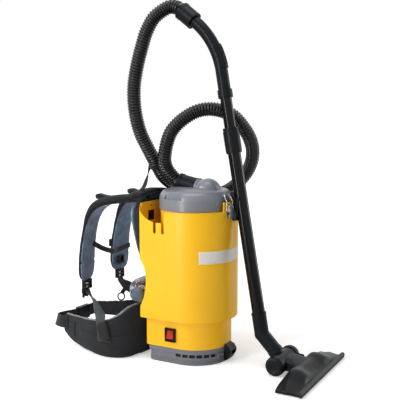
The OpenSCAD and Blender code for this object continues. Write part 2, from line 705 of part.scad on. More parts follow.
module wand_inner_tube() color("#111417") on_wand(grip_s + grip_in - inner_len) difference() {
  cylinder(r = inner_r, h = inner_len);
  translate([0, 0, -1]) cylinder(r = inner_r - tube_wall, h = inner_len + 2);
}

grip_r = 17.2;
bend_r = 17.1;
spigot_r = 16;                            // the grip's end inside the hose's cuff
grip_bore = 14;

// A profile swept round the grip's bend, between two angles of the bend
module on_bend(from, to) translate(grip_centre) rotate([90, 0, 0]) rotate([0, 0, wand_lean + from])
  rotate_extrude(angle = to - from, $fn = 180) translate([grip_bend_r, 0]) children();

module handle_grip() color(black) difference() {
  union() {
    on_wand(grip_s - 2) cylinder(r = grip_r + 3.2, h = 22);
    on_wand(grip_s) cylinder(r = grip_r, h = grip_straight + 1);
    on_bend(0, grip_bend) circle(bend_r, $fn = 48);
    at_grip_end(-1) cylinder(r = grip_r, h = 5);
    at_grip_end(3) cylinder(r = spigot_r, h = 11);
  }
  on_wand(grip_s - 3) cylinder(r = inner_r + run, h = grip_in + 4);
  on_wand(grip_s + grip_in) cylinder(r = grip_bore + 0.2, h = grip_straight - grip_in + 1);
  on_bend(0, grip_bend) circle(grip_bore, $fn = 48);
  at_grip_end(-1) cylinder(r = grip_bore + 0.2, h = 20);
  // the hole that the air regulator covers
  on_bend(12.5, 16) translate([8, -3]) square([14, 6]);
}

// A pipe from two lists of rings with equally many points in a ring
module pipe(outer, inner) {
  n = len(outer[0]);
  m = len(outer);
  q = len(inner);
  base = m * n;
  polyhedron(
    points = [for (r = outer) each r, for (r = inner) each r],
    faces = [each side_faces(m, n, 0, false), each side_faces(q, n, base, true),
      for (k = [0 : n - 1]) let (l = (k + 1) % n)
        each [[k, l, base + l], [k, base + l, base + k]],
      for (k = [0 : n - 1]) let (l = (k + 1) % n, a = (m - 1) * n, b = base + (q - 1) * n)
        each [[a + k, b + l, a + l], [a + k, b + k, b + l]]]);
}

// Slide on the outer side of the bend, over a hole in the grip
reg_from = 2;
reg_to = 18;
module air_regulator() color("#15181b") difference() {
  on_bend(reg_from, reg_to) difference() {
    circle(grip_r + 3, $fn = 48);
    circle(bend_r + run, $fn = 48);
    translate([-44, -25]) square([50, 50]);
  }
  for (a = [4, 10.5]) on_bend(a, a + 5.5) translate([8, -3.2]) square([20, 6.4]);
}

module handle_cuff() color(black) at_grip_end(4.2) difference() {
  union() {
    cylinder(r = hose_d / 2 + 4.6, h = hand_cuff_len);
    translate([0, 0, hand_cuff_len - 8]) cylinder(r = hose_d / 2 + 5.4, h = 8);
  }
  translate([0, 0, -1]) cylinder(r = spigot_r + run, h = 12);
  translate([0, 0, 10]) cylinder(r = hose_bore / 2, h = 20);
  translate([0, 0, hand_cuff_len - hand_socket]) cylinder(r = hose_d / 2 + gap, h = 60);
}

module inlet_cuff() color(black) {
  at_mouth(-16) difference() {
    cylinder(r = mouth_r - run, h = 17);
    translate([0, 0, -1]) cylinder(r = hose_bore / 2, h = 20);
  }
  at_mouth(0.4) difference() {
    union() {
      cylinder(r = hose_d / 2 + 3, h = cuff_len);
      cylinder(r = hose_d / 2 + 4.4, h = 6);
      translate([0, 0, cuff_len - 9]) cylinder(r = hose_d / 2 + 4.6, h = 9);
    }
    translate([0, 0, -1]) cylinder(r = hose_bore / 2, h = 60);
    translate([0, 0, cuff_len - cuff_socket]) cylinder(r = hose_d / 2 + gap, h = 60);
  }
}

// ---- hose --------------------------------------------------------------------

cuff_face = 0.4 + cuff_len - cuff_socket;         // where the hose meets the inlet cuff
hand_face = 4.2 + hand_cuff_len - hand_socket;    // and the handle's cuff
hose_lid_start = mouth + (cuff_face + gap) * mouth_dir;
hose_hand_end = grip_end + (hand_face + gap) * grip_end_dir;
hose_join = [-130, -3, 548];                      // under the harness's loop
loop_t = unit([-8, -21, 34]);                     // the hose's direction there

lid_route = [
  hose_lid_start, hose_lid_start + 19 * mouth_dir, hose_lid_start + 38 * mouth_dir,
  hose_lid_start + 48 * mouth_dir,
  [-86, -20, 540], [-82, -33, 580], [-58, -34, 644], [-8, -14, 690], [40, 14, 703],
  [84, 54, 686], [110, 90, 642], [115, 122, 600], [107, 142, 560], [88, 152, 524],
  [58, 156, 490], [20, 155, 462], [-26, 148, 448], [-66, 127, 454], [-96, 86, 470],
  [-114, 50, 490], [-122, 18, 514],
  hose_join - 14 * loop_t, hose_join - gap / 2 * loop_t];
hand_route = [
  hose_join + gap / 2 * loop_t, hose_join + 14 * loop_t, [-138, -24, 582], [-155, -47, 639], [-163, -60, 700],
  [-166, -60, 761], [-159, -54, 822], [-148, -42, 883], [-139, -33, 920], [-119, -22, 958],
  [-82, -6, 984], hose_hand_end + 45 * grip_end_dir, hose_hand_end + 34 * grip_end_dir,
  hose_hand_end + 17 * grip_end_dir, hose_hand_end];

// The hose: crests and roots alternate at half of the pitch, over a smooth bore
module hose(route) {
  curve = smooth(route, 10);
  c = lengths(curve);
  ribs = round(c[len(c) - 1] / rib_pitch);
  path = evenly(curve, 2 * ribs);
  T = tangents(path);
  N = side_vectors(T, [0, 1, 0.2]);
  crest = hose_d / 2;
  outer = [for (i = [0 : 2 * ribs]) ring(path[i], T[i], N[i],
    i % 2 == 1 ? crest : crest - 2.6, 8)];
  inner = [for (i = [0 : 4 : 2 * ribs]) ring(path[i], T[i], N[i], hose_bore / 2, 8),
    if ((2 * ribs) % 4 != 0) ring(path[2 * ribs], T[2 * ribs], N[2 * ribs], hose_bore / 2, 8)];
  echo(ribs = ribs, hose_length = c[len(c) - 1], least_gap_to_itself =
    min([for (i = [0 : 2 * ribs]) for (j = [i + 24 : 2 * ribs]) norm(path[i] - path[j])]) - hose_d);
  pipe(outer, inner);
}
module hose_lid_run() color("#1a1e23") hose(lid_route);
module hose_handle_run() color("#1a1e23") hose(hand_route);

// ---- floor tool ----------------------------------------------------------------

elbow_r = tube_r + 2.2;
// Mitred elbow: the wand's socket above, the swivel spigot below
module neck_elbow() color(black) difference() {
  union() {
    on_wand(elbow_s) cylinder(r = elbow_r, h = -elbow_s + 2);
    on_wand(-4) cylinder(r = elbow_r + 0.8, h = 6);
    translate(elbow) sphere(r = elbow_r + 0.4);
    on_leg() cylinder(r = elbow_r, h = stub_t);
    on_leg() cylinder(r = elbow_r - 5, h = stub_t + 9);
  }
  on_wand(-socket_in - eps) cylinder(r = tube_r + run, h = 60);
  on_wand(elbow_s) cylinder(r = elbow_r - 5, h = 60);
  translate(elbow) sphere(r = elbow_r - 4.6);
  on_leg() cylinder(r = elbow_r - 8, h = 200);
}

barrel_half = wheel_span / 2 - 26;
axle_r = 4;
// Swivel ring and barrel: the barrel turns about the axle between the cheeks
module neck_stub() color(black) difference() {
  union() {
    on_leg(stub_t + gap) cylinder(r = elbow_r + 1.4, h = 13);
    on_leg(stub_t + 12) cylinder(r = elbow_r - 3, h = barrel_r - 4);
    translate(axle + [0, barrel_half, 0]) rotate([90, 0, 0]) cylinder(r = barrel_r, h = 2 * barrel_half);
  }
  on_leg(stub_t - 1) cylinder(r = elbow_r - 5 + run, h = 12);
  on_leg(stub_t + 4) cylinder(r = elbow_r - 8, h = 14);
  translate(axle + [0, 60, 0]) rotate([90, 0, 0]) cylinder(r = axle_r + run, h = 120);
}

module tool_axle() color(steel) translate(axle + [0, wheel_span / 2 - 3, 0])
  rotate([90, 0, 0]) cylinder(r = axle_r, h = wheel_span - 6);

cheek_t = 2.6;
module wheel(side) color("#1d2125") translate(axle + [0, side * (barrel_half + cheek_t + 0.6), 0])
  rotate([-side * 90, 0, 0]) difference() {
    union() {
      cylinder(r = wheel_r - 0.8, h = 2);
      translate([0, 0, 1.5]) cylinder(r = wheel_r, h = 19);
      translate([0, 0, 20]) cylinder(r1 = wheel_r, r2 = wheel_r - 2.4,
        h = wheel_span / 2 - barrel_half - cheek_t - 0.6 - 20);
    }
    translate([0, 0, -1]) cylinder(r = axle_r + run, h = wheel_span / 2 - 3 - barrel_half - cheek_t + 1);
    // the dished face
    translate([0, 0, wheel_span / 2 - barrel_half - cheek_t - 0.6 + 60]) sphere(r = 62.5, $fn = 96);
  }
module wheel_left() wheel(-1);
module wheel_right() wheel(1);

head_front = axle[0] + barrel_r + 12 + head_depth;      // front edge of the head
head_back = head_front - head_depth;
strip_w = 9;

// Spine point of the head at y: it sweeps back and down towards the ends
function spine(y) = let (u = abs(y) / (head_len / 2))
  [head_back + 26 + 14 * u * u, y, 31 - 20 * u * u];
head_stations = 18;
function head_section(y) = let (u = abs(y) / (head_len / 2), s = spine(y), end = pow(u, 4),
    back = head_back + 4 - 10 * (1 - u) * (1 - u) + 8 * end, front = head_front - strip_w - 1,
    low = 3.2, top = s[2] + 7 * pow(max(0, 1 - abs(u - 0.45) / 0.4), 2)) [
  [front, y, low], [front, y, low + 8 - 4 * end],
  [min(s[0] + 34, front - 2), y, max(top - 9 * (1 - u) - 4, low + 8.6 - 4 * end)],
  [s[0] + 16, y, top - 1], [s[0], y, top + 1], [s[0] - 14, y, top - 2],
  [back, y, low + 10 - 5 * end], [back, y, low]];

module nozzle_head() color(black) {
  difference() {
    union() {
      skin([for (k = [0 : head_stations])
        let (y = head_len / 2 * (1 - 2 * k / head_stations)) head_section(y)]);
      // the stem reaches back and round the barrel
      hull() {
        translate(axle + [barrel_r - 6, 0, 2]) rotate([90, 0, 0])
          cylinder(r = 17, h = 2 * barrel_half - 6, center = true, $fn = 32);
        translate([head_back + 30, 0, 28]) rotate([90, 0, 0])
          cylinder(r = 11, h = 2 * barrel_half + 24, center = true, $fn = 32);
      }
      // cheeks on both sides of the barrel
      for (s = [-1, 1]) {
        translate(axle + [0, s * (barrel_half + gap + cheek_t / 2), 0]) rotate([90, 0, 0])
          cylinder(r = 15, h = cheek_t, center = true);
        translate(axle + [0, s * (barrel_half + gap + cheek_t / 2) - cheek_t / 2, -12])
          cube([barrel_r + 22, cheek_t, 24]);
      }
    }
    translate(axle + [0, barrel_half + gap, 0]) rotate([90, 0, 0])
      cylinder(r = barrel_r + gap, h = 2 * (barrel_half + gap));
    translate(axle + [0, 80, 0]) rotate([90, 0, 0]) cylinder(r = axle_r + run, h = 160);
    for (s = [-1, 1]) translate(axle + [0, s * (barrel_half + gap + cheek_t + 15), 0])
      rotate([90, 0, 0]) cylinder(r = wheel_r + 0.8, h = 30, center = true);
    // the suction slot, and the duct that joins it to the stem
    translate([head_back + 24, -head_len / 2 + 18, -1]) cube([26, head_len - 36, 11]);
    translate([axle[0] + barrel_r - 8, -14, 9]) cube([head_back - axle[0] + 20, 28, 14]);
    // room for the brush strips
    for (x = brush_x) translate([x - 3, -head_len / 2 + 10, -1]) cube([6, head_len - 20, 8]);
  }
}

brush_x = [head_back + 17, head_front - strip_w - 10];
module brush_strips() color("#2b2b2d") for (x = brush_x)
  translate([x - 2.6, -head_len / 2 + 12, 0.4]) cube([5.2, head_len - 24, 6.5]);

module front_strip() color("#191c20") difference() {
  translate([head_front - strip_w, head_len / 2 + 2, 0]) rotate([90, 0, 0])
    linear_extrude(head_len + 4) polygon([[-0.7, 2], [strip_w - 2, 2], [strip_w, 5],
      [strip_w, 13], [strip_w - 3, 16], [-0.7, 16]]);
  translate([head_front - strip_w + 3, -head_len / 2 - 3, 7]) cube([20, head_len + 6, 2]);
}

// ---- harness ---------------------------------------------------------------------

plate_t = 3.2;
plate_w = 144;
plate_z = [60, rim_z + 26];
plate_x = front_x - gap - plate_t;                  // front face of the plate
plate_screw_at = [for (y = [-55, 55]) for (z = [137, 310, rim_z + 8]) [y, z]];

module back_plate() color("#2a2d31") difference() {
  translate([plate_x, -plate_w / 2, plate_z[0]]) cube([plate_t, plate_w, plate_z[1] - plate_z[0]]);
  for (p = plate_screw_at) translate([plate_x - 1, p[0], p[1]]) rotate([0, 90, 0])
    cylinder(r = screw_r + run, h = 8);
  for (z = [240, 400]) for (y = [-30, 30]) translate([plate_x - 1, y - 14, z - 3]) cube([8, 28, 6]);
}

module plate_screws() color(steel) for (p = plate_screw_at)
  translate([plate_x, p[0], p[1]]) rotate([0, 90, 0]) {
    translate([0, 0, 0.2]) cylinder(r = screw_r, h = 8);
    translate([0, 0, plate_t + gap + shell_wall + 0.05]) cylinder(r = 3.6, h = 2);
  }

// The back pad: [z, width, share of the thickness], its flat back on the plate
back_sections = [[284, 110, 0.3], [292, 148, 0.46], [330, 166, 0.66], [376, 172, 0.85],
  [412, 168, 1], [428, 146, 0.98], [438, 82, 0.85], [450, 66, 0.7], [458, 58, 0.5]];
module back_pad() color(pad_blue) cushion([for (s = back_sections)
  [plate_x - gap - back_t * s[2] / 2, 0, s[0], s[1], back_t * s[2], 0, 1, 0]], 2, 14);

lumbar_t = 54;
lumbar_z = [151, 219];
module lumbar_pad() color(pad_blue) cushion([
  for (s = [[-94, 0.45, 0.55], [-82, 0.85, 0.85], [-48, 1, 1], [0, 1, 0.86], [48, 1, 1],
            [82, 0.85, 0.85], [94, 0.45, 0.55]])
    [plate_x - gap - lumbar_t * s[2] / 2, s[0], (lumbar_z[0] + lumbar_z[1]) / 2,
      (lumbar_z[1] - lumbar_z[0]) * s[1], lumbar_t * s[2], 0, 0, 1]], 2, 14);

// Shoulder pads: [x from the front panel, y, z, share of the width, share of the thickness]
shoulder_line = [
  [-12, -59, 447, 0.4, 0.5], [-20, -59, 448, 0.56, 0.8], [-40, -60, 448, 0.6, 1],
  [-66, -66, 447, 0.8, 1.1], [-101, -74, 443, 1, 1.15], [-132, -80, 436, 1, 1.25],
  [-158, -84, 420, 1, 1.25], [-176, -85, 395, 1, 1.1], [-188, -85, 356, 1, 1],
  [-198, -85, 300, 1, 1], [-202, -85, 246, 1, 1], [-203, -85, 216, 0.85, 0.85],
  [-203, -85, 204, 0.5, 0.5]];
shoulder_left = [for (s = shoulder_line)
  [front_x + s[0], s[1], s[2], pad_w * s[3], pad_t * s[4], 0.12, -1, 0]];
module shoulder_pad_left() color(pad_blue) cushion(shoulder_left);
module shoulder_pad_right() color(pad_blue) cushion(mirrored(shoulder_left));

// Stitched cloth that joins both shoulder pads above the back pad
yoke_line = [[-80, 463, 0.6], [-72, 464.5, 1], [-40, 468, 1], [0, 471, 1], [40, 468, 1],
  [72, 464.5, 1], [80, 463, 0.6]];
module yoke() color(cloth_black) cushion([for (s = yoke_line)
  [front_x - 30, s[0], s[1], 34 * s[2], 12 * s[2], 1, 0, 0]], 2, 8);

// Load straps over the shoulder pads; each ends in a loose fold
lifter = [[-48.8, -62, 461.5, 0.8], [-72, -67, 457.6, 1], [-102, -74, 453.1, 1],
  [-124, -79, 455, 1], [-140, -82, 464, 1], [-152, -84, 468, 1], [-162, -86, 461, 1]];
lifter_left = [for (s = lifter)
  [front_x + s[0], s[1], s[2], web_w * s[3], web_t, 0.12, -1, 0]];
module lifter_straps() color(cloth_black) {
  strap(lifter_left);
  strap(mirrored(lifter_left));
}

// Webbing that rises from the yoke and goes round the hose
loop_r = hose_d / 2 + 1.8;
loop_n = unit(cross(loop_t, [1, 0, 0]));
loop_b = cross(loop_t, loop_n);
module hose_loop() color(cloth_black) {
  around = [for (a = [0 : 24 : 336]) let (p = hose_join + loop_r * (cos(a) * loop_b + sin(a) * loop_n))
    [p[0], p[1], p[2], web_w, web_t, loop_t[0], loop_t[1], loop_t[2]]];
  strap([[front_x - 26, -62, 474.6, web_w, web_t, 1, 0, 0],
    [front_x - 24, -42, 490, web_w, web_t, 0.8, 0.2, 0.2], each around], 2);
}

chest = [[-189.1, -68, 310], [-188.6, -52, 301], [-184, -30, 289], [-181, -4, 279], [-182, 24, 271],
  [-189, 46, 269], [-191, 60, 269], [-189, 80, 271], [-187, 100, 274], [-185, 117, 276]];
module chest_strap() color(cloth_black) strap([for (s = chest)
  [front_x + s[0], s[1], s[2], web_w - 5, web_t, 0.1, 0, 1]]);

module chest_buckle() color(black) {
  translate([front_x - 193.9, 60, 224]) difference() {
    cube([7, 28, 26]);
    translate([2, 6, 5]) cube([10, 16, 16]);
  }
  translate([front_x - 210.9, 39.5, 282]) cube([8, 11, 22]);
}

// Ladder locks at the lower end of each shoulder pad
module strap_adjusters() color(black) for (s = [-1, 1])
  translate([front_x - 203, s * 85, 187.7]) difference() {
    translate([-6, -17, -12]) cube([12, 34, 28]);
    for (z = [-5, 5]) translate([-8, -13, z - 2.5]) cube([16, 26, 5]);
  }

// Belt wings: [x from the front panel, y, z, height, share of the thickness]
wing = [[-20.4, -8, 77, 136, 1.9], [-21.5, -52, 77, 142, 2], [-32, -88, 74, 144, 1.5],
  [-46, -120, 64.2, 127.4, 1.2], [-66, -136, 57.8, 114.4, 1], [-98, -141, 53, 103, 1],
  [-146, -133, 51, 95, 1], [-200, -112, 48, 87, 0.95], [-250, -92, 50, 76, 0.85],
  [-288, -78, 58, 56, 0.7], [-296, -75, 59, 40, 0.4]];
wing_left = [for (s = wing)
  [front_x + s[0], s[1], s[2] + 0.5, s[3], wing_t * s[4], 0, 0, 1]];
module belt_wing_left() color(cloth_black) cushion(wing_left);

// The right wing has slipped up: its lower edge is folded in by these shares of the height
wing_fold = [0, 0, 0.04, 0.14, 0.27, 0.39, 0.45, 0.46, 0.44, 0.36, 0.42];
wing_right = mirrored([for (i = [0 : len(wing_left) - 1]) let (s = wing_left[i], f = wing_fold[i])
  [s[0], s[1], s[2] + s[3] * f / 2, s[3] * (1 - f), s[4], s[5], s[6], s[7]]]);
module belt_wing_right() color(cloth_black) cushion(wing_right);

// Webbing from a ladder lock down to the belt, over its top and down its outside
lower = [[-202, -85, 173.9, 0.12, -1, 0], [-200, -85.8, 167, 0.12, -1, 0],
  [-195, -87.5, 161, 0.4, -1, 0],
  [-182, -92, 151, 0.8, -0.8, 0.05], [-158, -105, 134, 1, -0.5, 0.1],
  [-132, -124, 117, 1, -0.35, 0.1], [-115, -140, 111, 1, -0.25, 0.15],
  [-106, -151.5, 103, 1, -0.15, 0.2], [-100, -154, 86, 1, -0.1, 0.22],
  [-92, -153.2, 56, 1, -0.05, 0.22]];
lower_left = [for (s = lower) [front_x + s[0], s[1], s[2], web_w, web_t, s[3], s[4], s[5]]];
module lower_straps() color(cloth_black) {
  strap(lower_left, 4);
  strap(mirrored(lower_left), 4);
}

// The free half of a side-release buckle hangs from the left ladder lock
module spare_buckle_plug() color(black) translate([front_x - 211, -84, 175.4]) {
  translate([-4, -12, -14]) cube([8, 24, 14]);
  for (s = [-1, 1]) translate([-3, s * 9 - 2, -27]) cube([6, 4, 14]);
  translate([-3, -2, -24]) cube([6, 4, 11]);
}

// Tail of the right shoulder webbing, ending in an oval pull ring
pull_ring_r = 11;
pull_ring_turn = 35;                      // the ring's plane, from the X axis
module pull_ring() color(black) {
  strap([[front_x - 207, 92, 174.4, 12, web_t, 0, 1, 0],
    [front_x - 203, 94, 164, 12, web_t, 0.5, 1, 0],
    [front_x - 192, 97, 152, 14, web_t, 0.8, 0.6, 0.2],
    [front_x - 190, 98, 143, 14, web_t, 0.8, 0.5, 0.2],
    [front_x - 195, 97, 133, 13, web_t, 0.8, 0.5, 0.2],
    [front_x - 203.6, 94.5, 120.6, 12, web_t, 0.8, 0.5, 0.1]]);
  translate([front_x - 205, 94, 110.5]) rotate([90, 20, pull_ring_turn]) rotate_extrude()
    translate([pull_ring_r, 0]) circle(1.8);
}

belt_z = 62;
belt_w = 38;
belt_line = [[-270, -93.2], [-300, -92], [-322, -82], [-329, -68], [-322, -50], [-308, -28],
  [-300, -6], [-300, 42], [-301, 62], [-298, 82], [-286, 89], [-270, 93.2]];
belt_tilt = [0, 0.1, 0.3, 0.4, 0.3, 0.12, 0, 0, 0, 0, 0, 0];
module belt_strap() color(cloth_black) strap([for (i = [0 : len(belt_line) - 1])
  let (s = belt_line[i])
    [front_x + s[0], s[1], belt_z + 3, belt_w, web_t, belt_tilt[i], 0, 1]], 4);

module belt_buckle() color(black) translate([front_x - 308, -8, belt_z - 18]) difference() {
  cube([14, 54, 42]);
  translate([6, -1, 1]) cube([4, 56, 40]);
}

outer_shell();
tank_body();
base_pan();
exhaust_filter();
base_catch();
power_inlet();
motor_can();
motor_rotor();
motor_gaskets();
filter_basket();
cloth_filter();
dust_bag();
lid();
lid_seal();
latch_plate_left();
latch_plate_right();
latch_lever_left();
latch_lever_right();
latch_bail_left();
latch_bail_right();
switch_bezel();
switch_rocker();
wand_clip();
clip_screws();
inlet_cuff();
hose_lid_run();
hose_handle_run();
handle_cuff();
handle_grip();
air_regulator();
wand_inner_tube();
lock_sleeve();
wand_outer_tube();
neck_elbow();
neck_stub();
tool_axle();
wheel_left();
wheel_right();
nozzle_head();
brush_strips();
front_strip();
back_plate();
plate_screws();
back_pad();
lumbar_pad();
shoulder_pad_left();
shoulder_pad_right();
yoke();
lifter_straps();
hose_loop();
chest_strap();
chest_buckle();
strap_adjusters();
lower_straps();
spare_buckle_plug();
pull_ring();
belt_wing_left();
belt_wing_right();
belt_strap();
belt_buckle();
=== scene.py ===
"""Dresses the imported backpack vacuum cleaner: hoses, harness, trim, finishes and a studio."""

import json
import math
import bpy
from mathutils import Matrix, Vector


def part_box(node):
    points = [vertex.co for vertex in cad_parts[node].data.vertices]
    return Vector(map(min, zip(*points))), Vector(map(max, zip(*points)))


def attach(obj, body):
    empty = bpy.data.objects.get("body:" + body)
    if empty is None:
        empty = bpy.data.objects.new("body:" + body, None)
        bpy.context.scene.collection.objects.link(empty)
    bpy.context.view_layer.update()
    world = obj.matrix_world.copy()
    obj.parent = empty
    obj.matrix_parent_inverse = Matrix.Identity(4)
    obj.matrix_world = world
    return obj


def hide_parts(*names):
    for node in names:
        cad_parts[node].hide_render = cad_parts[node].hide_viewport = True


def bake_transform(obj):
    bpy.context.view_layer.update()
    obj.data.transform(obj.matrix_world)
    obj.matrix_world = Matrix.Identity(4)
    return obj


bl_info = {
    "name": "Backpack Vacuum Cleaner Dressing",
    "version": (1, 0, 0),
    "blender": (4, 5, 0),
    "location": "View3D > Sidebar > Backpack",
    "description": "Builds the hoses, harness, trim and finishes of a backpack vacuum cleaner",
    "category": "Object",
}

import bpy
import numpy as np
from bpy.props import FloatProperty, FloatVectorProperty, PointerProperty

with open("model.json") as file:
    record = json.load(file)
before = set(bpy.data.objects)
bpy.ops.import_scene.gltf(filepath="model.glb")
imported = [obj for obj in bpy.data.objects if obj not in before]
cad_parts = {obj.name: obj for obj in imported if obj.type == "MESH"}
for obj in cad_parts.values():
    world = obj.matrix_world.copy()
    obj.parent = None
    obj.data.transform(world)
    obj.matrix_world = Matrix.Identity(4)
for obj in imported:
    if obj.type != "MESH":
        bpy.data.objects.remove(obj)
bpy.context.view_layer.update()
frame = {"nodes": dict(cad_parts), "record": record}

MM = 0.001
PLATE_LOW, PLATE_HIGH = (np.array(corner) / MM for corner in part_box("back_plate"))
FRONT_X = PLATE_HIGH[0] + 0.3          # front panel, in millimetres
PLATE_X = PLATE_LOW[0]                 # wearer's side of the back plate
BODY = "unit"                          # the body that carries tank and harness


# ---- colours and materials ---------------------------------------------------


def linear(code):
    """An sRGB hex code as linear red, green, blue and a full alpha."""
    part = [int(code[i:i + 2], 16) / 255 for i in (1, 3, 5)]
    return [c / 12.92 if c <= 0.04045 else ((c + 0.055) / 1.055) ** 2.4 for c in part] + [1.0]


def add_node(tree, kind, links=(), **settings):
    """Adds a node; settings name its inputs or properties, links are (input, socket) pairs."""
    node = tree.nodes.new(kind)
    for key, value in settings.items():
        name = key.replace("_", " ")
        found = [s for s in node.inputs if s.name.lower() == name.lower()]
        if found:
            found[0].default_value = value
        else:
            setattr(node, key, value)
    for key, socket in links:
        target = node.inputs[key]
        tree.links.new(socket, target)
    return node


def ramp(tree, factor, stops):
    """A colour ramp through (position, colour) stops."""
    node = add_node(tree, "ShaderNodeValToRGB", links=[("Fac", factor)])
    band = node.color_ramp
    while len(band.elements) < len(stops):
        band.elements.new(0.5)
    for element, (place, colour) in zip(band.elements, stops):
        element.position = place
        element.color = colour
    return node


def shade(code, factor):
    """The hex colour, lighter or darker by a factor on its linear value."""
    r, g, b, a = linear(code)
    return [min(1.0, c * factor) for c in (r, g, b)] + [a]


def start_material(name):
    """A new material with its Principled shader and its coordinate nodes."""
    mat = bpy.data.materials.new(name)
    mat.use_nodes = True
    tree = mat.node_tree
    tree.nodes.clear()
    shader = add_node(tree, "ShaderNodeBsdfPrincipled")
    add_node(tree, "ShaderNodeOutputMaterial", links=[("Surface", shader.outputs[0])])
    coords = add_node(tree, "ShaderNodeTexCoord")
    return mat, tree, shader, coords


def moulded(name, code, roughness, grain_mm, grain_depth, edge_mm=0.7, tone=0.06, shine=0.5):
    """Injection-moulded plastic: an even colour with a faint cloud, an eroded grain that
    breaks up the highlight, and mould edges rounded by a fraction of a millimetre."""
    mat, tree, shader, coords = start_material(name)
    where = coords.outputs["Object"]
    cloud = add_node(tree, "ShaderNodeTexNoise", links=[("Vector", where)], scale=9.0, detail=3.0)
    colour = ramp(tree, cloud.outputs["Fac"],
                  [(0.3, shade(code, 1 - tone)), (0.7, shade(code, 1 + tone))])
    grain = add_node(tree, "ShaderNodeTexNoise", links=[("Vector", where)],
                     scale=1 / (grain_mm * MM), detail=2.0)
    gloss = add_node(tree, "ShaderNodeMapRange", links=[("Value", grain.outputs["Fac"])],
                     from_min=0.3, from_max=0.7, to_min=roughness - 0.05, to_max=roughness + 0.06)
    edge = add_node(tree, "ShaderNodeBevel", samples=4, radius=edge_mm * MM)
    bump = add_node(tree, "ShaderNodeBump", strength=grain_depth, distance=0.1 * MM,
                    links=[("Height", grain.outputs["Fac"]), ("Normal", edge.outputs["Normal"])])
    tree.links.new(colour.outputs["Color"], shader.inputs["Base Color"])
    tree.links.new(gloss.outputs["Result"], shader.inputs["Roughness"])
    tree.links.new(bump.outputs["Normal"], shader.inputs["Normal"])
    shader.inputs["Specular IOR Level"].default_value = shine
    return mat


def metal(name, code, roughness, line_mm, depth, stretch=(1, 1, 12)):
    """Metal with fine lines left by rolling or turning, drawn a little coarser than real."""
    mat, tree, shader, coords = start_material(name)
    turn = add_node(tree, "ShaderNodeMapping", links=[("Vector", coords.outputs["Object"])],
                    scale=stretch)
    lines = add_node(tree, "ShaderNodeTexNoise", links=[("Vector", turn.outputs["Vector"])],
                     scale=1 / (line_mm * MM), detail=3.0)
    gloss = add_node(tree, "ShaderNodeMapRange", links=[("Value", lines.outputs["Fac"])],
                     to_min=roughness - 0.08, to_max=roughness + 0.1)
    colour = ramp(tree, lines.outputs["Fac"], [(0.2, shade(code, 0.85)), (0.8, shade(code, 1.08))])
    edge = add_node(tree, "ShaderNodeBevel", samples=4, radius=0.25 * MM)
    bump = add_node(tree, "ShaderNodeBump", strength=depth, distance=0.05 * MM,
                    links=[("Height", lines.outputs["Fac"]), ("Normal", edge.outputs["Normal"])])
    tree.links.new(colour.outputs["Color"], shader.inputs["Base Color"])
    tree.links.new(gloss.outputs["Result"], shader.inputs["Roughness"])
    tree.links.new(bump.outputs["Normal"], shader.inputs["Normal"])
    shader.inputs["Metallic"].default_value = 1.0
    return mat


CLOTH_WEAR = 0.12                      # how much darker worn patches of cloth get


def woven(name, code, thread_mm, depth, roughness=0.85, contrast=0.35, sheen=0.25, flat=False):
    """Woven nylon: two sets of threads over each other, in object space or, where flat, on the
    piece's own UV map in metres, soft clouds of wear, and the faint sheen of synthetic cloth."""
    mat, tree, shader, coords = start_material(name)
    where = coords.outputs["UV"] if flat else coords.outputs["Object"]
    size = 1 / (thread_mm * MM) / (2 * math.pi)
    warp = add_node(tree, "ShaderNodeTexWave", links=[("Vector", where)], bands_direction="X",
                    scale=size, distortion=0.6, detail=1.0)
    weft = add_node(tree, "ShaderNodeTexWave", links=[("Vector", where)],
                    bands_direction="Y" if flat else "Z", scale=size, distortion=0.6, detail=1.0)
    cross = add_node(tree, "ShaderNodeMath", operation="MULTIPLY")
    tree.links.new(warp.outputs["Fac"], cross.inputs[0])
    tree.links.new(weft.outputs["Fac"], cross.inputs[1])
    cloud = add_node(tree, "ShaderNodeTexNoise", links=[("Vector", coords.outputs["Object"])],
                     scale=28.0, detail=4.0)
    base = ramp(tree, cross.outputs[0],
                [(0.0, shade(code, 1 - contrast)), (0.8, shade(code, 1.12))])
    worn = [1 - CLOTH_WEAR] * 3 + [1]
    tone = ramp(tree, cloud.outputs["Fac"], [(0.3, worn), (0.7, [1, 1, 1, 1])])
    mix = add_node(tree, "ShaderNodeMix", data_type="RGBA", blend_type="MULTIPLY")
    mix.inputs["Factor"].default_value = 1.0
    tree.links.new(base.outputs["Color"], mix.inputs[6])
    tree.links.new(tone.outputs["Color"], mix.inputs[7])
    bump = add_node(tree, "ShaderNodeBump", strength=depth, distance=0.25 * MM,
                    links=[("Height", cross.outputs[0])])
    tree.links.new(mix.outputs[2], shader.inputs["Base Color"])
    tree.links.new(bump.outputs["Normal"], shader.inputs["Normal"])
    shader.inputs["Roughness"].default_value = roughness
    shader.inputs["Sheen Weight"].default_value = sheen
    shader.inputs["Sheen Roughness"].default_value = 0.5
    shader.inputs["Specular IOR Level"].default_value = 0.2
    return mat


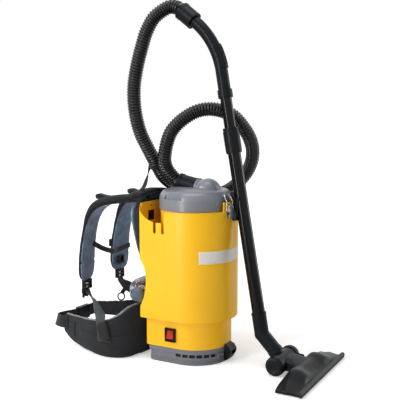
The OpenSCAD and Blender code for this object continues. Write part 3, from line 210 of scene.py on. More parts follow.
def fleece(name, code, pile_mm=1.6, depth=0.9):
    """Brushed fleece: a short tangled pile that scatters light, with clumps and lint."""
    mat, tree, shader, coords = start_material(name)
    where = coords.outputs["Object"]
    pile = add_node(tree, "ShaderNodeTexNoise", links=[("Vector", where)],
                    scale=1 / (pile_mm * MM), detail=5.0, roughness=0.7)
    clumps = add_node(tree, "ShaderNodeTexNoise", links=[("Vector", where)],
                      scale=45.0, detail=3.0)
    both = add_node(tree, "ShaderNodeMath", operation="MULTIPLY_ADD")
    both.inputs[1].default_value = 0.55
    tree.links.new(pile.outputs["Fac"], both.inputs[0])
    tree.links.new(clumps.outputs["Fac"], both.inputs[2])
    colour = ramp(tree, both.outputs[0], [(0.5, shade(code, 0.62)), (0.78, shade(code, 1.0)),
                                          (1.0, shade(code, 1.45))])
    bump = add_node(tree, "ShaderNodeBump", strength=depth, distance=0.6 * MM,
                    links=[("Height", pile.outputs["Fac"])])
    tree.links.new(colour.outputs["Color"], shader.inputs["Base Color"])
    tree.links.new(bump.outputs["Normal"], shader.inputs["Normal"])
    shader.inputs["Roughness"].default_value = 0.95
    shader.inputs["Sheen Weight"].default_value = 0.6
    shader.inputs["Sheen Roughness"].default_value = 0.35
    return mat


def spacer_mesh(name, code, thread_code, cell_mm, wave=0.0):
    """Knitted spacer mesh: small round cells in a lattice, darker towards their middles as painted
    shade in the pits; wave adds pale knitted rows.
    """
    mat, tree, shader, coords = start_material(name)
    where = coords.outputs["Object"]
    cells = add_node(tree, "ShaderNodeTexVoronoi", links=[("Vector", where)],
                     scale=1 / (cell_mm * MM), randomness=0.25)
    # painted shade: each cell's middle, sunk by the bump below, is darkened to 0.35 of the colour
    dark = ramp(tree, cells.outputs["Distance"],
                [(0.25, shade(code, 0.35)), (0.6, shade(code, 1.1))])
    rows = add_node(tree, "ShaderNodeTexWave", links=[("Vector", where)], bands_direction="Z",
                    wave_profile="SIN", scale=18.0, distortion=5.0, detail=1.0)
    rows.inputs["Detail Scale"].default_value = 14.0
    mask = ramp(tree, rows.outputs["Fac"], [(0.62, [0, 0, 0, 1]), (0.78, [wave, wave, wave, 1])])
    mix = add_node(tree, "ShaderNodeMix", data_type="RGBA",
                   links=[("Factor", mask.outputs["Color"])])
    tree.links.new(dark.outputs["Color"], mix.inputs[6])
    mix.inputs[7].default_value = linear(thread_code)
    bump = add_node(tree, "ShaderNodeBump", strength=0.8, distance=0.7 * MM,
                    links=[("Height", cells.outputs["Distance"])])
    tree.links.new(mix.outputs[2], shader.inputs["Base Color"])
    tree.links.new(bump.outputs["Normal"], shader.inputs["Normal"])
    shader.inputs["Roughness"].default_value = 0.9
    shader.inputs["Sheen Weight"].default_value = 0.2
    return mat


def translucent_red(name, code):
    """A rocker moulded in clear red polycarbonate: glossy, with a little painted glow from its
    emission.
    """
    mat, tree, shader, coords = start_material(name)
    glow = add_node(tree, "ShaderNodeTexNoise", links=[("Vector", coords.outputs["Object"])],
                    scale=90.0, detail=1.0)
    colour = ramp(tree, glow.outputs["Fac"], [(0.35, shade(code, 0.75)), (0.7, shade(code, 1.25))])
    tree.links.new(colour.outputs["Color"], shader.inputs["Base Color"])
    tree.links.new(colour.outputs["Color"], shader.inputs["Emission Color"])
    # painted glow: the rocker gives off a little light of its own
    shader.inputs["Emission Strength"].default_value = 0.10
    shader.inputs["Roughness"].default_value = 0.25
    shader.inputs["Specular IOR Level"].default_value = 0.25
    return mat


# ---- curves, frames and surfaces ------------------------------------------------


def unit(v):
    """Rows of v scaled to length one."""
    return v / np.maximum(np.linalg.norm(v, axis=-1, keepdims=True), 1e-12)


def spline(points, steps):
    """Catmull-Rom curve: each span blends its two points and their neighbours by cubics."""
    p = np.asarray(points, float)
    p = np.vstack([2 * p[0] - p[1], p, 2 * p[-1] - p[-2]])
    t = np.arange(steps)[:, None] / steps
    a, b, c, d = p[:-3, None], p[1:-2, None], p[2:-1, None], p[3:, None]
    q = 0.5 * (2 * b + (c - a) * t + (2 * a - 5 * b + 4 * c - d) * t ** 2
               + (3 * b - a - 3 * c + d) * t ** 3)
    return np.vstack([q.reshape(-1, p.shape[1]), p[-2]])


def lengths(p):
    """Distance along a row of points, from zero at the first."""
    return np.concatenate([[0], np.cumsum(np.linalg.norm(np.diff(p[:, :3], axis=0), axis=1))])


def evenly(p, count):
    """The curve again as count points at equal distances."""
    s = lengths(p)
    at = np.linspace(0, s[-1], count)
    return np.stack([np.interp(at, s, p[:, k]) for k in range(p.shape[1])], 1)


def turned_frames(p, first):
    """Tangents and side vectors that turn as little as they can along a curve."""
    t = unit(np.gradient(p, axis=0))
    n = [unit(np.asarray(first, float) - np.dot(first, t[0]) * t[0])]
    for tangent in t[1:]:
        n.append(unit(n[-1] - np.dot(n[-1], tangent) * tangent))
    return t, np.array(n)


def hinted_frames(stations):
    """Tangent, width and thickness directions of a strap from the hints in its stations."""
    t = unit(np.gradient(stations[:, :3], axis=0))
    h = stations[:, 5:8]
    w = unit(h - np.sum(h * t, 1, keepdims=True) * t)
    return t, w, np.cross(t, w)


def end_fans(rows, cols):
    """Triangles from both end rows of a grid to their centres, its last two vertices."""
    j = np.arange(cols)
    k = (j + 1) % cols
    last = (rows - 1) * cols
    low = np.stack([np.full(cols, rows * cols), k, j], 1)
    high = np.stack([np.full(cols, rows * cols + 1), j + last, k + last], 1)
    return np.concatenate([low, high])


def grid_mesh(name, points, wrapped, capped):
    """A mesh over a grid of points; wrapped joins the last column to the first, capped closes
    both ends with fans. UV holds metres across and along."""
    rows, cols = points.shape[:2]
    span = cols if wrapped else cols - 1
    i, j = np.meshgrid(np.arange(rows - 1), np.arange(span), indexing="ij")
    k = (j + 1) % cols
    quads = np.stack([i * cols + j, i * cols + k, (i + 1) * cols + k, (i + 1) * cols + j], -1)
    faces = quads.reshape(-1, 4).tolist()
    verts = points.reshape(-1, 3)
    step_u = np.linalg.norm(np.roll(points, -1, 1) - points, axis=2).mean(0)
    u = np.concatenate([[0], np.cumsum(step_u)])
    v = np.concatenate([[0], np.cumsum(np.linalg.norm(np.diff(points, axis=0), axis=2).mean(1))])
    uv = np.stack([np.stack([u[j], v[i]], -1), np.stack([u[j + 1], v[i]], -1),
                   np.stack([u[j + 1], v[i + 1]], -1), np.stack([u[j], v[i + 1]], -1)], 2)
    uv = uv.reshape(-1, 2)
    if capped:
        verts = np.vstack([verts, points[0].mean(0), points[-1].mean(0)])
        faces += end_fans(rows, cols).tolist()
        uv = np.vstack([uv, np.zeros((6 * cols, 2))])
    mesh = bpy.data.meshes.new(name)
    mesh.from_pydata((verts * MM).tolist(), [], faces)
    layer = mesh.uv_layers.new(name="UVMap")
    layer.data.foreach_set("uv", (uv * MM).ravel())
    mesh.polygons.foreach_set("use_smooth", [True] * len(mesh.polygons))
    mesh.update()
    return mesh


def add_piece(name, mesh, material, body=BODY):
    """Links a mesh as a piece at the origin that rides on a body, or on none yet."""
    obj = bpy.data.objects.new(name, mesh)
    bpy.context.scene.collection.objects.link(obj)
    mesh.materials.append(material)
    if body:
        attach(obj, body)
    return obj


def merged_mesh(name, parts):
    """One mesh from several (vertices, faces) pairs in millimetres."""
    verts, faces, start = [], [], 0
    for v, f in parts:
        verts.append(v)
        faces += (np.asarray(f) + start).tolist()
        start += len(v)
    mesh = bpy.data.meshes.new(name)
    mesh.from_pydata((np.vstack(verts) * MM).tolist(), [], faces)
    mesh.polygons.foreach_set("use_smooth", [True] * len(mesh.polygons))
    mesh.update()
    return mesh


def grid_part(points):
    """Vertices and triangles of a wrapped, capped grid, for merged_mesh."""
    rows, cols = points.shape[:2]
    i, j = np.meshgrid(np.arange(rows - 1), np.arange(cols), indexing="ij")
    k = (j + 1) % cols
    a, b, c, d = i * cols + j, i * cols + k, (i + 1) * cols + k, (i + 1) * cols + j
    tri = np.concatenate([np.stack([a, b, c], -1).reshape(-1, 3),
                          np.stack([a, c, d], -1).reshape(-1, 3)])
    verts = np.vstack([points.reshape(-1, 3), points[0].mean(0), points[-1].mean(0)])
    return verts, np.concatenate([tri, end_fans(rows, cols)])


def round_section(cols, square):
    """Superellipse of unit half-axes: |x|^n + |y|^n = 1 with n = square."""
    a = 2 * np.pi * (np.arange(cols) + 0.5) / cols
    u, v = np.cos(a), np.sin(a)
    return (np.sign(u) * np.abs(u) ** (2 / square), np.sign(v) * np.abs(v) ** (2 / square))


WAVES = 5                              # sine waves in one wrinkled skin


def ripple(points, height, wave, seed):
    """Soft wrinkles: a sum of sine waves in fixed directions, in millimetres."""
    rng = np.random.default_rng(seed)
    out = np.zeros(points.shape[:2])
    for _ in range(WAVES):
        direction = unit(rng.normal(size=3)) * 2 * np.pi / (wave * rng.uniform(0.7, 1.4))
        out += np.sin(points @ direction + rng.uniform(0, 6.28))
    return height * out / 3


def loft(stations, low, high, cols, rows, seed, wrinkle, square=2.8, grow=0.0):
    """A cushion between the thickness shares low and high (-0.5 to 0.5 is all of it): rounded
    sections along the stations' curve, grown by grow; wrinkle, a height and a wave length,
    moves the skin."""
    st = evenly(spline(stations, 8), rows)
    _, w, n = hinted_frames(st)
    u, v = round_section(cols, square)
    wide = st[:, 3:4] / 2 + grow
    mid = (low + high) / 2 * st[:, 4:5]
    thick = (high - low) / 2 * st[:, 4:5] + grow * 0.5
    across = wide * u
    up = mid + thick * v
    points = st[:, None, :3] + across[..., None] * w[:, None] + up[..., None] * n[:, None]
    centre = st[:, None, :3] + mid[..., None] * n[:, None]
    return points + ripple(points, *wrinkle, seed)[..., None] * unit(points - centre)


def strap_points(stations):
    """Webbing: a flat section with round edges, one every 4 mm along the stations' curve."""
    st = spline(stations, 10)
    st = evenly(st, max(12, int(lengths(st)[-1] / 4)))
    _, w, n = hinted_frames(st)
    u, v = round_section(16, 5.0)
    across = st[:, 3:4] / 2 * u
    up = st[:, 4:5] / 2 * v
    return st[:, None, :3] + across[..., None] * w[:, None] + up[..., None] * n[:, None]


def tube_points(path, radius, cols):
    """A round tube along a path; radius is one value or one for each ring."""
    t, n = turned_frames(path, (0, 0, 1))
    b = np.cross(t, n)
    a = 2 * np.pi * np.arange(cols) / cols
    r = np.broadcast_to(np.asarray(radius, float), (len(path),))[:, None, None]
    return path[:, None] + r * (np.cos(a)[:, None] * n[:, None] + np.sin(a)[:, None] * b[:, None])


STITCH_LENGTH, STITCH_PITCH, THREAD = 3.2, 4.4, 0.55   # sewing, the thread as a radius


def stitch_parts(path, out):
    """A row of thread stitches: short spindles laid end to end along a path, raised by out."""
    count = max(2, int(lengths(path)[-1] / STITCH_PITCH))
    both = evenly(np.hstack([path, np.broadcast_to(out, path.shape)]), count * 2)
    p, o = both[:, :3], unit(both[:, 3:])
    t = unit(np.gradient(p, axis=0))
    p, o, t = p[1::2], o[1::2], t[1::2]
    b = np.cross(t, o)
    along = np.array([-0.5, -0.3, 0.0, 0.3, 0.5]) * STITCH_LENGTH
    r = np.array([0.25, 0.85, 1.0, 0.85, 0.25]) * THREAD
    a = 2 * np.pi * np.arange(5) / 5
    ring = np.stack([np.repeat(along, 5), np.outer(r, np.cos(a)).ravel(),
                     np.outer(r, np.sin(a)).ravel()], 1)
    pts = (p[:, None] + ring[None, :, :1] * t[:, None] + ring[None, :, 1:2] * o[:, None] * 0.7
           + ring[None, :, 2:] * b[:, None])
    return [grid_part(shape) for shape in pts.reshape(len(p), 5, 5, 3)]


def mirrored(stations):
    """The same stations on the wearer's other side."""
    out = np.array(stations, float)
    out[:, 1] *= -1
    out[:, 6] *= -1
    return out


def from_panel(rows, width, thickness, hint):
    """Stations from rows of x from the front panel, y, z, width share, thickness share."""
    r = np.array(rows, float)
    full = np.zeros((len(r), 8))
    full[:, 0] = FRONT_X + r[:, 0]
    full[:, 1:3] = r[:, 1:3]
    full[:, 3] = width * r[:, 3]
    full[:, 4] = thickness * r[:, 4]
    full[:, 5:8] = hint
    return full


# ---- what the user can change ----------------------------------------------------


def colour_property(name, code, note):
    """A colour with its default from a hex code."""
    default = [int(code[i:i + 2], 16) / 255 for i in (1, 3, 5)]
    return FloatVectorProperty(name=name, description=note, subtype="COLOR_GAMMA", size=3,
                               min=0, max=1, default=default)


def length_property(name, mm, note):
    """A length with its default in millimetres, kept in metres."""
    return FloatProperty(name=name, description=note, unit="LENGTH", default=mm * MM,
                         min=0.0, precision=4)


class HarnessSettings(bpy.types.PropertyGroup):
    """Sizes and colours of the harness."""

    pad_width: length_property("Pad width", 70, "Width of a shoulder pad")
    pad_thickness: length_property("Pad thickness", 15, "Thickness of a shoulder pad")
    wing_thickness: length_property("Wing thickness", 17, "Thickness of a belt wing")
    webbing: length_property("Webbing", 25, "Width of the narrow webbing")
    cloth: colour_property("Cloth", "#292b2f", "Woven outer cloth")
    lining: colour_property("Lining", "#6d7f96", "Brushed lining on the wearer's side")
    tape: colour_property("Webbing colour", "#17191c", "Webbing and binding")


class HoseSettings(bpy.types.PropertyGroup):
    """Sizes and colour of the hose."""

    diameter: length_property("Diameter", 40, "Diameter over the ribs")
    rib_pitch: length_property("Rib pitch", 7.6, "Distance from one rib to the next")
    rib_depth: length_property("Rib depth", 2.9, "Height of a rib over the root")
    colour: colour_property("Colour", "#07090c", "Hose plastic")


class ShellSettings(bpy.types.PropertyGroup):
    """Colours of the hard parts."""

    shell: colour_property("Shell", "#fcc00a", "Tank and shell")
    lid: colour_property("Lid", "#7c7f88", "Lid")
    trim: colour_property("Trim", "#12161a", "Black plastic parts")


def code_of(colour):
    """A colour property as a hex code."""
    return "#" + "".join(f"{round(c * 255):02x}" for c in colour)


# ---- the stage -------------------------------------------------------------------

CAMERA_PLACE = (0.9691, -1.775, 0.6897)
CAMERA_TURN = (83.21, 0, 28.34)        # degrees
CAMERA_LENS = 65.08                    # millimetres, on a 36 mm wide sensor
LAMPS = [                              # name, place, target, width, height, watts
    ("key", (-2.1, -1.7, 1.9), (0.0, 0.0, 0.3), 0.75, 0.75, 32),
    ("front strip", (-0.6, -2.1, 0.8), (0.1, 0.0, 0.6), 0.22, 2.0, 26),
    ("right strip", (1.75, 1.75, 0.8), (0.1, 0.0, 0.6), 0.32, 2.2, 17),
    ("top", (-0.2, -0.2, 2.6), (0.0, 0.0, 0.3), 1.4, 1.4, 24)]
SURROUND = 0.31                        # the studio's light from all sides
FLOOR_HALF = 12                        # metres


class BACKPACK_OT_stage(bpy.types.Operator):
    """Sets the camera, a pale floor and soft studio light"""

    bl_idname = "backpack.stage"
    bl_label = "Stage"

    def execute(self, context):
        scene = context.scene
        scene.view_settings.view_transform = "Standard"
        camera = bpy.data.objects.new("camera", bpy.data.cameras.new("camera"))
        camera.location = CAMERA_PLACE
        camera.rotation_euler = [math.radians(turn) for turn in CAMERA_TURN]
        camera.data.lens = CAMERA_LENS
        camera.data.sensor_width = 36
        scene.collection.objects.link(camera)
        scene.camera = camera
        for lamp in LAMPS:
            self.light(*lamp)
        self.world(scene)
        self.floor()
        return {"FINISHED"}

    def light(self, name, place, target, wide, tall, power):
        """A soft box, wide by tall, that faces a target."""
        data = bpy.data.lights.new(name, "AREA")
        data.energy = power
        data.shape = "RECTANGLE"
        data.size = wide
        data.size_y = tall
        lamp = bpy.data.objects.new(name, data)
        lamp.location = place
        aim = np.array(target) - np.array(place)
        flat = math.hypot(aim[0], aim[1])
        heading = math.atan2(aim[1], aim[0]) - math.pi / 2
        lamp.rotation_euler = (math.atan2(flat, -aim[2]), 0, heading)
        bpy.context.scene.collection.objects.link(lamp)

    def world(self, scene):
        """A white surround for the eye and for reflections, and a dimmer one as light."""
        world = bpy.data.worlds.new("studio")
        world.use_nodes = True
        tree = world.node_tree
        tree.nodes.clear()
        path = add_node(tree, "ShaderNodeLightPath")
        shiny = add_node(tree, "ShaderNodeMath", operation="MAXIMUM")
        tree.links.new(path.outputs["Is Glossy Ray"], shiny.inputs[0])
        tree.links.new(path.outputs["Is Transmission Ray"], shiny.inputs[1])
        seen = add_node(tree, "ShaderNodeMath", operation="MAXIMUM")
        tree.links.new(path.outputs["Is Camera Ray"], seen.inputs[0])
        tree.links.new(shiny.outputs[0], seen.inputs[1])
        white = add_node(tree, "ShaderNodeBackground", color=(1, 1, 1, 1), strength=1.0)
        soft = add_node(tree, "ShaderNodeBackground", color=(1, 1, 1, 1), strength=SURROUND)
        mix = add_node(tree, "ShaderNodeMixShader", links=[(0, seen.outputs[0]),
                       (1, soft.outputs[0]), (2, white.outputs[0])])
        add_node(tree, "ShaderNodeOutputWorld", links=[("Surface", mix.outputs[0])])
        scene.world = world

    def floor(self):
        """A white floor that keeps the object's shadow. To the eye it also glows, by 0.42 of white
        up to 0.6 m from the middle, rising to 0.95 at 2.4 m."""
        mesh = bpy.data.meshes.new("floor")
        corners = [(x * FLOOR_HALF, y * FLOOR_HALF, 0)
                   for x, y in ((-1, -1), (1, -1), (1, 1), (-1, 1))]
        mesh.from_pydata(corners, [], [(0, 1, 2, 3)])
        floor = bpy.data.objects.new("floor", mesh)
        bpy.context.scene.collection.objects.link(floor)
        mat = bpy.data.materials.new("white paper")
        mat.use_nodes = True
        tree = mat.node_tree
        tree.nodes.clear()
        paper = add_node(tree, "ShaderNodeBsdfDiffuse", color=(0.86, 0.86, 0.86, 1))
        path = add_node(tree, "ShaderNodeLightPath")
        lift = add_node(tree, "ShaderNodeEmission", color=(1, 1, 1, 1))
        coords = add_node(tree, "ShaderNodeTexCoord")
        away = add_node(tree, "ShaderNodeVectorMath", operation="LENGTH",
                        links=[("Vector", coords.outputs["Object"])])
        fade = add_node(tree, "ShaderNodeMapRange", links=[("Value", away.outputs["Value"])],
                        from_min=0.6, from_max=2.4, to_min=0.42, to_max=0.95)
        scaled = add_node(tree, "ShaderNodeMath", operation="MULTIPLY",
                          links=[(0, path.outputs["Is Camera Ray"]), (1, fade.outputs["Result"])])
        tree.links.new(scaled.outputs[0], lift.inputs["Strength"])
        both = add_node(tree, "ShaderNodeAddShader",
                        links=[(0, paper.outputs[0]), (1, lift.outputs[0])])
        add_node(tree, "ShaderNodeOutputMaterial", links=[("Surface", both.outputs[0])])
        mesh.materials.append(mat)


# ---- the hose ----------------------------------------------------------------------


def rising(degrees):
    """The direction towards the wearer that rises by an angle."""
    return np.array([-math.cos(math.radians(degrees)), 0.0, math.sin(math.radians(degrees))])


RINGS_PER_RIB, HOSE_SIDES = 12, 28
MOUTH = np.array([4.0, 0.0, 487.0])    # the lid's mouth, and the way it points
MOUTH_DIR = rising(12)
CUFF_FACE = 20.7                       # where the hose meets the inlet cuff
GRIP_END = np.array([-2.43, 0.0, 939.04])  # the handle's upper end, and the way it points
GRIP_DIR = rising(38)
HAND_FACE = 20.5                       # where the hose meets the handle's cuff
JOIN = np.array([-130.0, -3.0, 548.0])  # both runs meet here, in the harness's loop
JOIN_DIR = unit(np.array([-8.0, -21.0, 34.0]))
HOSE_START = MOUTH + CUFF_FACE * MOUTH_DIR
HOSE_END = GRIP_END + HAND_FACE * GRIP_DIR

# points in millimetres that each run passes, straight out of its cuff and then free
LID_ROUTE = [
    HOSE_START, HOSE_START + 19 * MOUTH_DIR, HOSE_START + 38 * MOUTH_DIR,
    HOSE_START + 48 * MOUTH_DIR,
    [-86, -20, 540], [-82, -33, 580], [-58, -34, 644], [-8, -14, 690], [40, 14, 703],
    [84, 54, 686], [110, 90, 642], [115, 122, 600], [107, 142, 560], [88, 152, 524],
    [58, 156, 490], [20, 155, 462], [-26, 148, 448], [-66, 127, 454], [-96, 86, 470],
    [-114, 50, 490], [-122, 18, 514], JOIN - 14 * JOIN_DIR, JOIN - 0.15 * JOIN_DIR]
HAND_ROUTE = [
    JOIN + 0.15 * JOIN_DIR, JOIN + 14 * JOIN_DIR, [-138, -24, 582], [-155, -47, 639],
    [-163, -60, 700], [-166, -60, 761], [-159, -54, 822], [-148, -42, 883], [-139, -33, 920],
    [-119, -22, 958], [-82, -6, 984], HOSE_END + 45 * GRIP_DIR, HOSE_END + 34 * GRIP_DIR,
    HOSE_END + 17 * GRIP_DIR, HOSE_END]


class BACKPACK_OT_hose(bpy.types.Operator):
    """Builds both runs of the ribbed hose"""

    bl_idname = "backpack.hose"
    bl_label = "Ribbed hose"

    def execute(self, context):
        size = context.scene.backpack_hose
        mat = moulded("soft PVC hose", code_of(size.colour), 0.2, 2.0, 0.02, edge_mm=0.1,
                      shine=0.4)
        self.run(size, mat, "hose_to_lid", LID_ROUTE, "hose_lid_run", "lid", True)
        self.run(size, mat, "hose_to_handle", HAND_ROUTE, "hose_handle_run", "handle", False)
        return {"FINISHED"}

    def run(self, size, mat, name, route, node, far, start_moves):
        """A tube whose radius follows a helix: one round rib for each pitch and a narrow root,
        R - depth * (0.5 - 0.5 cos(2 pi (s / pitch + angle / 2 pi))) ^ 1.6."""
        pitch = size.rib_pitch / MM
        curve = spline(route, 20)
        whole = lengths(curve)[-1]
        rings = int(whole / pitch * RINGS_PER_RIB)
        path = evenly(curve, rings)
        t, n = turned_frames(path, (0, 1, 0.2))
        b = np.cross(t, n)
        a = 2 * np.pi * np.arange(HOSE_SIDES) / HOSE_SIDES
        s = np.linspace(0, whole, rings)[:, None]
        groove = (0.5 - 0.5 * np.cos(2 * np.pi * (s / pitch + a / (2 * np.pi)))) ** 1.6
        radius = size.diameter / MM / 2 - size.rib_depth / MM * groove
        points = path[:, None] + radius[..., None] * (
            np.cos(a)[:, None] * n[:, None] + np.sin(a)[:, None] * b[:, None])
        obj = add_piece(name, grid_mesh(name, points, True, True), mat, None)
        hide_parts(node)
        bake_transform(obj)


# ---- the harness ---------------------------------------------------------------------

WEBBING_THICK = 2.2
CREASE_HEIGHT = 258                     # where the front of a pad bends
SEWN = 0.9                              # how far a pad's stitches stand out
PAD_ROWS, PAD_SQUARE = 130, 2.8         # rings along a shoulder pad, its section's power
BELT_ROWS, BELT_SQUARE = 150, 3.4       # the same for a belt wing
SHOULDER = [                            # x from the panel, y, z, width and thickness shares
    [-12, -59, 447, 0.4, 0.5], [-20, -59, 448, 0.56, 0.8], [-40, -60, 448, 0.6, 1],
    [-66, -66, 447, 0.8, 1.1], [-101, -74, 443, 1, 1.15], [-132, -80, 436, 1, 1.25],
    [-158, -84, 420, 1, 1.25], [-176, -85, 395, 1, 1.1], [-188, -85, 356, 1, 1],
    [-198, -85, 300, 1, 1], [-202, -85, 246, 1, 1], [-203, -85, 216, 0.85, 0.85],
    [-203, -85, 204, 0.5, 0.5]]
WING = [                                # x from the panel, y, z, height, thickness share
    [-20.4, -8, 77.5, 136, 1.9], [-21.5, -52, 77.5, 142, 2], [-32, -88, 74.5, 144, 1.5],
    [-46, -120, 64.7, 127.4, 1.2], [-66, -136, 58.3, 114.4, 1], [-98, -141, 53.5, 103, 1],
    [-146, -133, 51.5, 95, 1], [-200, -112, 48.5, 87, 0.95], [-250, -92, 50.5, 76, 0.85],
    [-288, -78, 58.5, 56, 0.7], [-296, -75, 59.5, 40, 0.4]]
FOLD = [0, 0, 0.04, 0.14, 0.27, 0.39, 0.45, 0.46, 0.44, 0.36, 0.42]   # right wing's fold
# back pad: height z, width, thickness share
BACK = [[284, 110, 0.3], [292, 148, 0.46], [330, 166, 0.66], [376, 172, 0.85], [412, 168, 1],
        [428, 146, 0.98], [438, 82, 0.85], [450, 66, 0.7], [458, 58, 0.5]]
BACK_THICK = 48
# lumbar pad: y, height share, thickness share
LUMBAR = [[-94, 0.45, 0.55], [-82, 0.85, 0.85], [-48, 1, 1], [0, 1, 0.86], [48, 1, 1],
          [82, 0.85, 0.85], [94, 0.45, 0.55]]
LUMBAR_THICK, LUMBAR_LOW, LUMBAR_HIGH = 54, 151, 219

CLOTH_NAMES = {
    "cloth": "charcoal oxford nylon", "lining": "brushed blue-grey fleece",
    "fuzz_highlight": "pale fleece edge", "tape": "black polyester webbing",
    "grey_tape": "grey polyester webbing", "thread": "bonded nylon thread",
    "mesh": "black spacer mesh", "knit": "grey wave knit"}


def cloths(context):
    """The harness's cloths, made once."""
    if CLOTH_NAMES["cloth"] not in bpy.data.materials:
        size = context.scene.backpack_harness
        cloth, lining, tape = code_of(size.cloth), code_of(size.lining), code_of(size.tape)
        woven(CLOTH_NAMES["cloth"], cloth, 1.1, 0.5, sheen=0.08)
        fleece(CLOTH_NAMES["lining"], lining)
        # painted highlight: fuzzy fleece in a pale colour on the left wing's top edge, where light
        # catches it
        fleece(CLOTH_NAMES["fuzz_highlight"], "#84888f", 1.2, 1.0)
        woven(CLOTH_NAMES["tape"], tape, 1.5, 0.8, roughness=0.7, contrast=0.5, flat=True)
        woven(CLOTH_NAMES["grey_tape"], "#3c4043", 1.5, 0.8, roughness=0.7, contrast=0.4,
              flat=True)
        woven(CLOTH_NAMES["thread"], "#08090a", 0.6, 0.3, roughness=0.6)
        # both knits carry painted shade in their cell pits
        spacer_mesh(CLOTH_NAMES["mesh"], "#161719", "#2c2d30", 3.4)
        spacer_mesh(CLOTH_NAMES["knit"], "#4a4a52", "#b9bcc2", 3.0, wave=1.0)
    return {key: bpy.data.materials[name] for key, name in CLOTH_NAMES.items()}


def edge_line(stations, side, share, inset, rows):
    """The line on a cushion's edge: side +1 or -1, share of the thickness, inset in mm."""
    st = evenly(spline(stations, 8), rows)
    _, w, n = hinted_frames(st)
    return st[:, :3] + side * (st[:, 3:4] / 2 - inset) * w + share * st[:, 4:5] * n


def pad_line(stations, u, face, low, high):
    """A line on a shoulder pad's face (+1 or -1) at width share u, from -1 to 1, and the
    outward directions along it; low and high are the pad's thickness shares."""
    st = evenly(spline(stations, 8), PAD_ROWS)
    _, w, n = hinted_frames(st)
    v = (1 - abs(u) ** PAD_SQUARE) ** (1 / PAD_SQUARE)
    up = (low + high) / 2 * st[:, 4:5] + face * (high - low) / 2 * st[:, 4:5] * v
    return st[:, :3] + u * st[:, 3:4] / 2 * w + up * n, face * n


def sorted_shares(side, low, high):
    """Thickness shares as they are on side +1, and turned over on side -1."""
    return (low, high) if side > 0 else (-high, -low)


def smooth_step(x, a, b):
    """0 before a, 1 after b, a smooth rise between them."""
    t = np.clip((x - a) / (b - a), 0, 1)
    return t * t * (3 - 2 * t)


class BACKPACK_OT_shoulder_pads(bpy.types.Operator):
    """Builds both shoulder pads: fleece inside, woven cloth outside, bound edges, stitching"""

    bl_idname = "backpack.shoulder_pads"
    bl_label = "Shoulder pads"

    def execute(self, context):
        size = context.scene.backpack_harness
        mats = cloths(context)
        left = from_panel(SHOULDER, size.pad_width / MM, size.pad_thickness / MM, [0.12, -1, 0])
        for side, st, node in (("left", left, "shoulder_pad_left"),
                               ("right", mirrored(left), "shoulder_pad_right")):
            outer = 1 if side == "left" else -1
            self.pad(side, st, node, outer, mats)
        return {"FINISHED"}

    def pad(self, side, st, node, outer, mats):
        """Lining towards the wearer, cloth above the seam. Over the shoulder the cloth comes
        down past the middle of the edge, and further on the seam climbs to the outer face."""
        along = np.linspace(0, 1, PAD_ROWS)[:, None]
        st = st.copy()
        st[:, 3] *= 1 + 0.12 * smooth_step(np.linspace(0, 1, len(st)), 0.6, 0.85)
        seam = -0.36 + 0.40 * smooth_step(along, 0.44, 0.75)
        crown = 0.4 * (1 - smooth_step(along, 0.36, 0.66)) * smooth_step(along, 0.04, 0.14)
        low, high = sorted_shares(outer, -0.5 + 0 * seam, seam + 0.1)
        lining = loft(st, low, high, cols=44, rows=PAD_ROWS, wrinkle=(0.9, 34), seed=5, grow=-0.6)
        front = lining[..., 0] < FRONT_X - 160
        crease = np.exp(-((lining[..., 2] - CREASE_HEIGHT) / 3.2) ** 2) * front
        centre = lining.mean(1, keepdims=True)
        lining = lining + (centre - lining) * (0.12 * crease)[..., None]
        inner = add_piece(f"pad_lining_{side}", grid_mesh("lining", lining, True, True),
                          mats["lining"])
        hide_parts(node)
        low, high = sorted_shares(outer, seam, 0.5 + crown)
        cover = loft(st, low, high, cols=44, rows=PAD_ROWS, wrinkle=(0.6, 40), seed=9, grow=0.4)
        shell = add_piece(f"pad_cover_{side}", grid_mesh("cover", cover, True, True),
                          mats["cloth"])
        piping = [(seam * outer, 1.5, 0.4), (outer * 0.42 + 0 * seam, 1.3, 6.0)]
        parts = [grid_part(tube_points(edge_line(st, edge, share, inset, PAD_ROWS), thick, 10))
                 for edge in (-1, 1) for share, thick, inset in piping]
        add_piece(f"pad_binding_{side}", merged_mesh("binding", parts), mats["tape"])
        parts = []
        for u in (-0.72, 0.72):
            line, out = pad_line(st, u, outer, low, high)
            line, out = line[10:124], out[10:124]        # clear of both rounded ends
            parts += stitch_parts(line + out * SEWN, out)
        for place in (0.50, 0.64, 0.78):
            k = int(place * (PAD_ROWS - 1))
            row = [pad_line(st, u, outer, low, high) for u in np.linspace(-0.7, 0.7, 9)]
            line = np.array([r[0][k] + r[1][k] * SEWN for r in row])
            parts += stitch_parts(line, row[0][1][k])
        add_piece(f"pad_stitching_{side}", merged_mesh("stitches", parts), mats["thread"])


